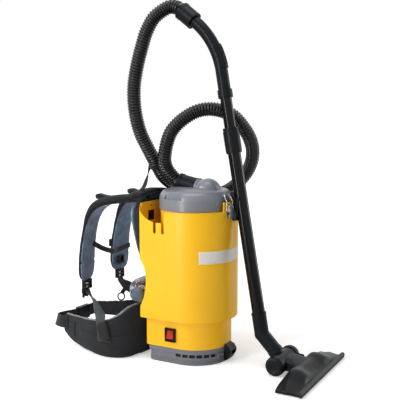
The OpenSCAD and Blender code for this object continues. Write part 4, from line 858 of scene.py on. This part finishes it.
class BACKPACK_OT_back_pads(bpy.types.Operator):
    """Builds the back pad, the lumbar pad and the yoke between the shoulder pads"""

    bl_idname = "backpack.back_pads"
    bl_label = "Back pads"

    def execute(self, context):
        mats = cloths(context)
        back = np.array([[PLATE_X - 0.3 - BACK_THICK * s[2] / 2, 0, s[0], s[1],
                          BACK_THICK * s[2], 0, 1, 0] for s in BACK])
        to_plate = 1 if hinted_frames(spline(back, 8))[2][:, 0].mean() > 0 else -1
        low, high = sorted((-0.5 * to_plate, -0.14 * to_plate))
        face = loft(back, low, high, cols=56, rows=110, square=3.0, wrinkle=(0.9, 46), seed=3,
                    grow=-0.5)
        pad = add_piece("back_pad_lining", grid_mesh("face", face, True, True), mats["lining"])
        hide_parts("back_pad")
        low, high = sorted((-0.24 * to_plate, 0.5 * to_plate))
        rim = loft(back, low, high, cols=56, rows=110, square=5, wrinkle=(0.3, 40), seed=4,
                   grow=2.5)
        add_piece("back_pad_body", grid_mesh("body", rim, True, True), mats["cloth"])
        self.lumbar(mats)
        self.yoke(mats)
        return {"FINISHED"}

    def lumbar(self, mats):
        """Waisted cushion; its upper part is covered by a knitted panel with pale waves."""
        mid = (LUMBAR_LOW + LUMBAR_HIGH) / 2
        tall = LUMBAR_HIGH - LUMBAR_LOW
        st = np.array([[PLATE_X - 0.3 - LUMBAR_THICK * s[2] / 2, s[0], mid, tall * s[1],
                        LUMBAR_THICK * s[2], 0, 0, 1] for s in LUMBAR])
        body = loft(st, -0.5, 0.5, cols=64, rows=100, square=2.8, wrinkle=(1.1, 38), seed=7,
                    grow=-1.2)
        pad = add_piece("lumbar_cushion", grid_mesh("lumbar", body, True, True), mats["lining"])
        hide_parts("lumbar_pad")
        skin = loft(st, -0.5, 0.5, cols=64, rows=100, square=2.8, wrinkle=(1.1, 38), seed=7,
                    grow=0.0)
        waist = skin[50]
        start = np.argmin(np.abs(waist[:, 2] - (mid - 2)) + 400 * (waist[:, 0] > st[3, 0]))
        way = 1 if waist[(start + 4) % 64, 2] > waist[start, 2] else -1
        panel = skin[1:-1][:, (start + way * np.arange(34)) % 64]
        obj = add_piece("lumbar_knit_panel", grid_mesh("knit", panel, False, False), mats["knit"])
        wall = obj.modifiers.new("wall", "SOLIDIFY")
        wall.thickness = 1.4 * MM
        wall.offset = 0

    def yoke(self, mats):
        """Stitched cloth that joins both shoulder pads above the back pad."""
        line = [[-80, 463, 0.6], [-72, 464.5, 1], [-40, 468, 1], [0, 471, 1], [40, 468, 1],
                [72, 464.5, 1], [80, 463, 0.6]]
        st = np.array([[FRONT_X - 30, s[0], s[1], 34 * s[2], 12 * s[2], 1, 0, 0] for s in line])
        body = loft(st, -0.5, 0.5, cols=32, rows=90, wrinkle=(0.8, 30), seed=11)
        obj = add_piece("yoke_cloth", grid_mesh("yoke", body, True, True), mats["cloth"])
        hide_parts("yoke")


class BACKPACK_OT_belt(bpy.types.Operator):
    """Builds the belt wings with their webbing, patches and box stitches"""

    bl_idname = "backpack.belt"
    bl_label = "Waist belt"

    def execute(self, context):
        size = context.scene.backpack_harness
        mats = cloths(context)
        left = from_panel(WING, 1, size.wing_thickness / MM, [0, 0, 1])
        right = mirrored(left)
        fold = np.array(FOLD)
        right[:, 2] += right[:, 3] * fold / 2
        right[:, 3] *= 1 - fold
        # the left wing's top edge is painted pale as a highlight, the right one's is plain mesh
        self.wing("left", left, 1, "belt_wing_left", mats, "fuzz_highlight")
        self.wing("right", right, -1, "belt_wing_right", mats, "mesh")
        self.front_strap(mats)
        return {"FINISHED"}

    def wing(self, side, st, inner, node, mats, rim_cloth):
        """Outer cloth, inner mesh and a soft edge of rim_cloth, which on the left wing is painted
        pale as a highlight; inner says which way the wearer is.
        """
        outer = sorted_shares(inner, -0.5, 0.12)
        body = loft(st, *outer, cols=56, rows=BELT_ROWS, square=BELT_SQUARE, wrinkle=(0.9, 60),
                    seed=13, grow=0.2)
        shell = add_piece(f"wing_cloth_{side}", grid_mesh("wing", body, True, True), mats["cloth"])
        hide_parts(node)
        mesh = loft(st, *sorted_shares(inner, 0.02, 0.5), cols=56, rows=BELT_ROWS, square=3.0,
                    wrinkle=(1.8, 30), seed=17, grow=-0.8)
        pad = add_piece(f"wing_lining_{side}", grid_mesh("lining", mesh, True, True), mats["mesh"])
        edge = edge_line(st, 1, 0.14 * inner, 1.6, BELT_ROWS)
        wave = [np.sin(np.linspace(0, turns, BELT_ROWS)) for turns in (90, 37)]
        wobble = 1 + 0.16 * wave[0] * wave[1]
        rim = tube_points(edge[4:-3], (4.4 * wobble)[4:-3], 12)
        add_piece(f"wing_top_edge_{side}", merged_mesh("rim", [grid_part(rim)]), mats[rim_cloth])
        edge = edge_line(st, -1, 0.06 * inner, 0.8, BELT_ROWS)
        add_piece(f"wing_low_binding_{side}", merged_mesh("bind", [grid_part(
            tube_points(edge[3:-3], 1.8, 10))]), mats["tape"])
        self.webbing(side, st, -inner, outer, mats)

    def on_face(self, st, face, span, x, z, lift):
        """Points on a wing's outer face at the places x and heights z, raised by lift, with
        the outward direction: the centre, plus u half heights, plus the crowned thickness."""
        row = evenly(spline(st, 8), 400)
        _, w, n = hinted_frames(row)
        both = np.hstack([row[:, :5], w, n])[::-1]
        at = np.stack([np.interp(x, both[:, 0], both[:, k]) for k in range(11)], -1)
        u = np.clip((z - at[..., 2]) / (at[..., 3] / 2), -0.97, 0.97)[..., None]
        v = (1 - np.abs(u) ** BELT_SQUARE) ** (1 / BELT_SQUARE)
        low, high = span
        up = ((low + high) / 2 + face * (high - low) / 2 * v) * at[..., 4:5] + face * lift
        w, n = at[..., 5:8], at[..., 8:11]
        return at[..., :3] + u * at[..., 3:4] / 2 * w + up * n, face * n

    def webbing(self, side, st, face, span, mats):
        """A band along the wing, a patch under the strap's end, a tab at the tip, and rows of
        stitches, each given by places x and heights z in millimetres."""
        parts = []
        strips = [("band", (-323, -225, -137), (40, 36, 29), (62, 60, 68), 0.9, "cloth"),
                  ("patch", (-238, -217, -196), (48, 48, 48), (97, 98, 99), 1.3, "tape"),
                  ("tab", (-385, -370, -352), (38, 32, 26), (66, 70, 74), 1.1, "cloth")]
        for name, xs, lows, highs, lift, mat in strips:
            x = np.linspace(xs[0], xs[2], 50)[:, None] + np.zeros(9)
            low, high = np.interp(x, xs, lows), np.interp(x, xs, highs)
            z = low + (high - low) * np.linspace(0, 1, 9)
            swell = (3.0 if name == "patch" else 0) * np.sin(np.linspace(0, np.pi, 50)) ** 0.6
            strip, out = self.on_face(st, face, span, x, z, lift + swell[:, None, None])
            turn = np.cross(strip[1, 0] - strip[0, 0], strip[0, 1] - strip[0, 0])
            if np.sum(turn * out[0, 0]) > 0:
                strip = strip[:, ::-1]
            obj = add_piece(f"wing_{name}_{side}", grid_mesh(name, strip, False, False),
                            mats[mat])
            wall = obj.modifiers.new("wall", "SOLIDIFY")
            wall.thickness = 1.6 * MM
            wall.offset = 0
            for inset in (0.07, 0.93):
                parts += self.row(st, face, span, x[:, 0], low[:, 0] + (high - low)[:, 0] * inset,
                                  lift + 1.1 + swell[:, None])
        for x0, x1, z0, z1 in ((-257, -229, 38, 56), (-221, -192, 39, 58), (-382, -356, 36, 64)):
            corners = [(x0, z0), (x1, z0), (x1, z1), (x0, z1)]
            runs = list(zip(corners, corners[1:] + corners[:1]))
            runs += [(corners[0], corners[2]), (corners[1], corners[3])]
            for a, b in runs:
                parts += self.row(st, face, span, np.linspace(a[0], b[0], 9),
                                  np.linspace(a[1], b[1], 9), 2.1)
        for x0, z0, z1 in ((-350, 22, 78), (-183, 34, 99), (-187, 34, 99)):
            parts += self.row(st, face, span, np.full(9, x0), np.linspace(z0, z1, 9), 1.0)
        add_piece(f"wing_stitching_{side}", merged_mesh("stitches", parts), mats["thread"])

    def row(self, st, face, span, x, z, lift):
        """A stitch row on the wing's face."""
        line, out = self.on_face(st, face, span, x, z, lift)
        return stitch_parts(line, out.mean(0))

    def front_strap(self, mats):
        """Wide webbing through the buckle, round the left wing's tip and the right one's."""
        line = [[-270, -93.2, 0], [-300, -92, 0.1], [-322, -82, 0.3], [-329, -68, 0.4],
                [-322, -50, 0.3], [-308, -28, 0.12], [-300, -6, 0], [-300, 42, 0],
                [-301, 62, 0], [-298, 82, 0], [-286, 89, 0], [-270, 93.2, 0]]
        st = np.array([[FRONT_X + s[0], s[1], 65, 38, WEBBING_THICK, s[2], 0, 1] for s in line])
        obj = add_piece("belt_webbing", grid_mesh("belt", strap_points(st), True, True),
                        mats["tape"])
        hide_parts("belt_strap")


LOOP_RADIUS = 21.8                     # the harness's loop, round the hose
RING_HALVES, RING_WIRE = (10.6, 11.8), 2.1     # half width and height, wire radius


class BACKPACK_OT_straps(bpy.types.Operator):
    """Builds the load, lower, chest and loop straps and the pull ring"""

    bl_idname = "backpack.straps"
    bl_label = "Straps"

    def execute(self, context):
        size = context.scene.backpack_harness
        mats = cloths(context)
        wide = size.webbing / MM
        self.pair("load_straps", "lifter_straps", mats["cloth"], wide, [
            [-48.8, -62, 461.5, 0.8, 0.12, -1, 0], [-72, -67, 457.6, 1, 0.12, -1, 0],
            [-102, -74, 453.1, 1, 0.12, -1, 0], [-124, -79, 454, 1, 0.12, -1, 0],
            [-140, -82, 456.5, 1, 0.12, -1, 0], [-152, -84, 457, 1, 0.12, -1, 0],
            [-160, -86, 455.5, 1, 0.12, -1, 0]])
        self.pair("lower_webbing", "lower_straps", mats["grey_tape"], wide * 1.25, [
            [-202, -85, 173.9, 0.8, 0.12, -1, 0], [-200, -85.8, 167, 0.8, 0.12, -1, 0],
            [-195, -87.5, 161, 0.85, 0.4, -1, 0],
            [-182, -92, 151, 1, 0.8, -0.8, 0.05], [-158, -105, 134, 1, 1, -0.5, 0.1],
            [-132, -124, 117, 1, 1, -0.35, 0.1], [-115, -140, 111, 1, 1, -0.25, 0.15],
            [-106, -151.5, 103, 1, 1, -0.15, 0.2], [-100, -154, 86, 1, 1, -0.1, 0.22],
            [-92, -153.2, 56, 1, 1, -0.05, 0.22]])
        self.loop(mats, wide)
        self.chest(mats, wide)
        self.ring(mats)
        return {"FINISHED"}

    def stations(self, rows, wide):
        """Stations from x from the panel, y, z, width share and a width direction."""
        r = np.array(rows, float)
        st = np.zeros((len(r), 8))
        st[:, 0] = FRONT_X + r[:, 0]
        st[:, 1:3] = r[:, 1:3]
        st[:, 3] = wide * r[:, 3]
        st[:, 4] = WEBBING_THICK
        st[:, 5:8] = r[:, 4:7]
        return st

    def pair(self, name, node, mat, wide, rows):
        """The same strap on both sides, one piece for each side."""
        left = self.stations(rows, wide)
        if node == "lifter_straps":
            left[-4:, 4] = [5.0, 11.0, 16.0, 13.0]     # the free end, folded over and sewn
            left[-3:, 2] -= 3                          # which sinks into the pad
        meshes = [grid_mesh(name, strap_points(st), True, True) for st in (left, mirrored(left))]
        for side, mesh in zip(("left", "right"), meshes):
            obj = add_piece(f"{name}_{side}", mesh, mat)
            if side == "left":
                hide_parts(node)
        if node == "lower_straps":
            sewn = left[-3:].copy()
            sewn[:, 3] *= 1.22
            sewn[:, 4] = 5.5
            ends = [grid_part(strap_points(st)) for st in (sewn, mirrored(sewn))]
            add_piece("sewn_strap_ends", merged_mesh("ends", ends),
                      bpy.data.materials[CLOTH_NAMES["tape"]])

    def loop(self, mats, wide):
        """Webbing that rises from the yoke and goes round the hose."""
        n = unit(np.cross(JOIN_DIR, [1, 0, 0]))
        b = np.cross(JOIN_DIR, n)
        a = np.radians(np.arange(0, 337, 24))[:, None]
        ring = JOIN + LOOP_RADIUS * (np.cos(a) * b + np.sin(a) * n)
        narrow = wide * 0.5
        rest = np.hstack([ring, np.full((len(a), 1), narrow), np.full((len(a), 1), WEBBING_THICK),
                          np.tile(JOIN_DIR, (len(a), 1))])
        st = np.vstack([[FRONT_X - 26, -62, 474.6, narrow, WEBBING_THICK, 1, 0, 0],
                        [FRONT_X - 24, -42, 490, narrow, WEBBING_THICK, 0.8, 0.2, 0.2], rest])
        obj = add_piece("hose_loop_webbing", grid_mesh("loop", strap_points(st), True, True),
                        mats["tape"])
        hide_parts("hose_loop")

    def chest(self, mats, wide):
        """The chest strap on its way to the other pad. The real one twists once; this one is drawn
        flat and a little narrower.
        """
        line = [[-189.1, -68, 310], [-188.6, -52, 301], [-184, -30, 289], [-181, -4, 279],
                [-182, 24, 271], [-189, 46, 269], [-191, 60, 269], [-189, 80, 271],
                [-187, 100, 274], [-185, 117, 276]]
        st = self.stations([s + [1, 0.1, 0, 1] for s in line], wide - 10)
        obj = add_piece("chest_webbing", grid_mesh("chest", strap_points(st), True, True),
                        mats["tape"])
        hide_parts("chest_strap")

    def ring(self, mats):
        """The right strap's tail with its oval pull ring."""
        rows = [[-207, 92, 174.4, 1, 0, 1, 0], [-203, 94, 164, 1, 0.5, 1, 0],
                [-192, 97, 152, 1.17, 0.8, 0.6, 0.2], [-190, 98, 143, 1.17, 0.8, 0.5, 0.2],
                [-195, 97, 133, 1.1, 0.8, 0.5, 0.2], [-203.6, 94.5, 120.6, 1, 0.8, 0.5, 0.1]]
        tail = grid_mesh("tail", strap_points(self.stations(rows, 12)), True, True)
        obj = add_piece("pull_tail", tail, mats["tape"])
        a = np.linspace(0, 2 * np.pi, 48, endpoint=False)[:, None]
        centre = np.array([FRONT_X - 205, 94, 110.5])
        flat = np.array([math.cos(math.radians(35)), math.sin(math.radians(35)), 0])
        half_wide, half_tall = RING_HALVES
        path = centre + half_wide * np.cos(a) * flat + half_tall * np.sin(a) * np.array([0, 0, 1])
        out = unit(path - centre)
        c = 2 * np.pi * np.arange(12) / 12
        side = np.array([flat[1], -flat[0], 0])
        points = path[:, None] + RING_WIRE * (np.cos(c)[:, None] * out[:, None]
                                              + np.sin(c)[:, None] * side)
        points = np.concatenate([points, points[:1]])
        mesh = grid_mesh("ring", points[:, ::-1], True, False)
        ring = add_piece("pull_ring_oval", mesh, bpy.data.materials["black polypropylene"])
        weld = ring.modifiers.new("weld", "WELD")
        weld.merge_threshold = 0.01 * MM
        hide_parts("pull_ring")


# ---- finishes of the hard parts --------------------------------------------------------


class BACKPACK_OT_finishes(bpy.types.Operator):
    """Gives every hard part its material"""

    bl_idname = "backpack.finishes"
    bl_label = "Finishes"

    def execute(self, context):
        look = context.scene.backpack_shell
        shell, lid, trim = code_of(look.shell), code_of(look.lid), code_of(look.trim)
        slots = {
            "yellow_shell": moulded("yellow ABS", shell, 0.36, 1.6, 0.04, tone=0.03, shine=0.42),
            "lid_grey": moulded("grey textured ABS", lid, 0.30, 0.8, 0.08, tone=0.04, shine=0.55),
            "base_grey": moulded("grey satin ABS", "#73767d", 0.40, 1.0, 0.12, tone=0.04,
                                 shine=0.35),
            "black_plastic": moulded("black polypropylene", trim, 0.30, 1.0, 0.06, tone=0.1,
                                     shine=0.13),
            "wand_black": moulded("polished black tube", "#020303", 0.15, 3.0, 0.0, shine=0.22),
            "hose_black": moulded("black vinyl", "#0c1014", 0.26, 2.0, 0.02, shine=0.2),
            "latch_steel": metal("zinc-plated steel", "#c9ccd0", 0.26, 0.9, 0.15),
            "motor_metal": metal("cast aluminium", "#a5a9ae", 0.42, 1.4, 0.3, (1, 1, 1)),
            "seal_rubber": moulded("black EPDM rubber", "#191a1c", 0.62, 1.2, 0.2, tone=0.1),
            "wheel_rubber": moulded("hard wheel plastic", "#15181c", 0.32, 1.0, 0.08, tone=0.1,
                                    shine=0.12),
            "brush_bristle": woven("nylon bristles", "#1c1d1f", 0.7, 1.0, contrast=0.7),
            "basket_plastic": moulded("grey nylon basket", "#3b3f45", 0.5, 0.8, 0.2),
            "filter_cloth": woven("cotton filter cloth", "#e4e0d4", 0.9, 0.6),
            "filter_paper": woven("filter paper", "#d9c9a3", 2.4, 0.2, contrast=0.1),
            # the foam's pores get the same painted shade
            "filter_foam": spacer_mesh("open-cell foam", "#1e1f21", "#2e2f33", 1.6),
            "pad_cloth": fleece("fleece for plain pads", "#6d7f96"),
            "harness_cloth": woven("nylon for plain straps", "#292b2f", 1.1, 0.5),
            # the red rocker's material carries a little painted glow
            "rocker_red": translucent_red("clear red polycarbonate", "#b42806"),
        }
        for entry in frame["record"]["subparts"]:
            node = frame["nodes"][entry["node"]]
            node.data.materials.clear()
            node.data.materials.append(slots[entry["material_slot"]])
        return {"FINISHED"}


HEAD_DEPTH = 74                        # front to back
HEAD_LIFT = 3.2                        # the sole's height over the floor
SHOULDER_AT = 0.46                     # share of the half width where the head is highest
SLOT_DEPTH = 7.0                       # the suction slot in the sole
CHEEK_AT = 41.6                        # the cheeks' distance from the middle


class BACKPACK_OT_floor_tool(bpy.types.Operator):
    """Builds the floor tool's smooth body and its two wheels"""

    bl_idname = "backpack.floor_tool"
    bl_label = "Floor tool"

    def execute(self, context):
        trim = bpy.data.materials["black polypropylene"]
        self.body(trim)
        for side in ("left", "right"):
            self.wheel(side)
        return {"FINISHED"}

    def body(self, mat):
        """A head lofted from side to side, with the stem and two cheeks that hold the barrel.
        Each section's top is one curve through six points that follow the spine."""
        front, half, _ = np.array(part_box("nozzle_head")[1]) / MM
        rear = front - HEAD_DEPTH
        y = np.linspace(-half, half, 141)
        u = np.abs(y) / half
        end = u ** 4
        flat = 0 * u
        spine = rear + 26 + 14 * u ** 2
        top = 31 - 20 * u ** 2 + 8 * np.exp(-((u - SHOULDER_AT) / 0.17) ** 2)
        back = rear + 4 - 10 * (1 - u) ** 2 + 8 * end
        low = HEAD_LIFT + flat
        nose = np.maximum(top - 10 * (1 - u) - 4, low + 10 - 5 * end)
        rows = [(front + flat, low + 7 - 4 * end), (front - 3 + flat, low + 10 - 5.5 * end),
                (np.minimum(spine + 32, front - 6), nose), (spine + 15, top - 1.5),
                (spine, top + 1), (spine - 13, top - 1.5), (back + 1, low + 12 - 6 * end),
                (back, low + 7 - 4 * end)]
        over = spline(np.array([np.stack(r, 1).reshape(-1) for r in rows]), 7)
        over = over.reshape(len(over), len(y), 2)
        roof = low + (u < 0.9) * SLOT_DEPTH
        under = [(back, low), (rear + 24 + flat, low), (rear + 24.5 + flat, roof),
                 (rear + 49.5 + flat, roof), (rear + 50 + flat, low), (front + flat, low)]
        under = np.stack([np.stack(r, 1) for r in under])
        profile = np.concatenate([over, under]).transpose(1, 0, 2)
        sides = y[:, None] + 0 * profile[..., 0]
        points = np.stack([profile[..., 0], sides, profile[..., 1]], -1)
        parts = [grid_part(points[:, ::-1])]
        axle = np.array(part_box("tool_axle")).mean(0) / MM
        t = np.linspace(0, 1, 40)[:, None]
        cu, cv = round_section(48, 3.4)
        wide = 36 + 30 * t ** 2
        tall = 17.5 - 9 * t
        x = axle[0] + 14 + (rear + 33 - axle[0] - 14) * t
        z = axle[2] + 1.5 - 8 * t ** 1.5
        parts.append(grid_part(np.stack([x + 0 * cu, wide * cu, z + tall * cv], -1)))
        t = np.linspace(-1, 1, 30)[:, None]
        reach = np.where(t < 0, 15 * t, 46 * t)
        tall = np.where(t < 0, 15 * np.sqrt(np.clip(1 - t ** 2, 0.002, 1)), 15 - 4 * t)
        for side in (-1, 1):
            cheek = np.stack([axle[0] + reach + 0 * cu, side * CHEEK_AT + 1.3 * cu + 0 * t,
                              axle[2] + tall * cv], -1)
            parts.append(grid_part(cheek))
        obj = add_piece("floor_head", merged_mesh("head", parts), mat, "head")
        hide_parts("nozzle_head")

    def wheel(self, side):
        """A profile turned about the axle: flat tread, a wide round shoulder, a dished face."""
        low, high = np.array(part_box(f"wheel_{side}")) / MM
        r = (high[2] - low[2]) / 2
        centre = (low + high) / 2
        inner, way = (low[1], 1) if side == "right" else (high[1], -1)
        span = high[1] - low[1]
        hub = 0.02
        knots = np.array([[hub, 0], [r - 1.5, 0], [r - 0.3, 0.8], [r, 3], [r, span - 10],
                          [r - 1.6, span - 5], [r - 6, span - 1.2], [r - 10, span - 0.4],
                          [r * 0.45, span - 1.6], [hub, span - 2.4]])
        curve = spline(knots, 6)
        a = 2 * np.pi * np.arange(72) / 72
        ring = np.clip(curve[:, :1], hub, r)
        points = np.stack([centre[0] + ring * np.cos(a),
                           inner + way * curve[:, 1:2] + 0 * a,
                           centre[2] + ring * np.sin(a)], -1)
        if way > 0:
            points = points[:, ::-1]
        obj = add_piece(f"rounded_wheel_{side}", grid_mesh("wheel", points, True, True),
                        bpy.data.materials["hard wheel plastic"], f"wheel_{side}")
        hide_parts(f"wheel_{side}")


LABEL_RADIUS = 118.12                  # just outside the shell's round front
LABEL_ANGLES = (-58, 12)               # degrees round the tank's axis
LABEL_HEIGHTS = (288, 322)


class BACKPACK_OT_label(bpy.types.Operator):
    """Adds a blank label plate to the shell"""

    bl_idname = "backpack.label"
    bl_label = "Blank label"

    def execute(self, context):
        mat = moulded("blank vinyl label", "#e4e2da", 0.4, 1.5, 0.03, edge_mm=0.1, tone=0.02)
        a = np.radians(np.linspace(*LABEL_ANGLES, 90))
        angle, z = np.meshgrid(a, np.linspace(*LABEL_HEIGHTS, 8), indexing="ij")
        points = np.stack([LABEL_RADIUS * np.cos(angle), LABEL_RADIUS * np.sin(angle), z], -1)
        obj = add_piece("blank_label", grid_mesh("label", points, False, False), mat)
        wall = obj.modifiers.new("wall", "SOLIDIFY")
        wall.thickness = 0.3 * MM
        wall.offset = 1
        return {"FINISHED"}


# ---- panel and registration ---------------------------------------------------------------

STEPS = (BACKPACK_OT_stage, BACKPACK_OT_finishes, BACKPACK_OT_hose, BACKPACK_OT_shoulder_pads,
         BACKPACK_OT_back_pads, BACKPACK_OT_belt, BACKPACK_OT_straps, BACKPACK_OT_floor_tool,
         BACKPACK_OT_label)
GROUPS = {"backpack_harness": HarnessSettings, "backpack_hose": HoseSettings,
          "backpack_shell": ShellSettings}


class BACKPACK_PT_panel(bpy.types.Panel):
    """Lists the settings and the steps"""

    bl_label = "Backpack"
    bl_space_type = "VIEW_3D"
    bl_region_type = "UI"
    bl_category = "Backpack"

    def draw(self, context):
        for key, group in GROUPS.items():
            box = self.layout.box()
            for name in group.__annotations__:
                box.prop(getattr(context.scene, key), name)
        for step in STEPS:
            self.layout.operator(step.bl_idname)


def register():
    """Registers the classes and hangs the settings on the scene."""
    for cls in (*GROUPS.values(), *STEPS, BACKPACK_PT_panel):
        bpy.utils.register_class(cls)
    for key, group in GROUPS.items():
        setattr(bpy.types.Scene, key, PointerProperty(type=group))


def unregister():
    """Takes both away again."""
    for key in GROUPS:
        delattr(bpy.types.Scene, key)
    for cls in (BACKPACK_PT_panel, *reversed(STEPS), *GROUPS.values()):
        bpy.utils.unregister_class(cls)


def main():
    """Builds everything in order."""
    register()
    for step in STEPS:
        area, name = step.bl_idname.split(".")
        getattr(getattr(bpy.ops, area), name)()


if __name__ == "__main__":
    main()
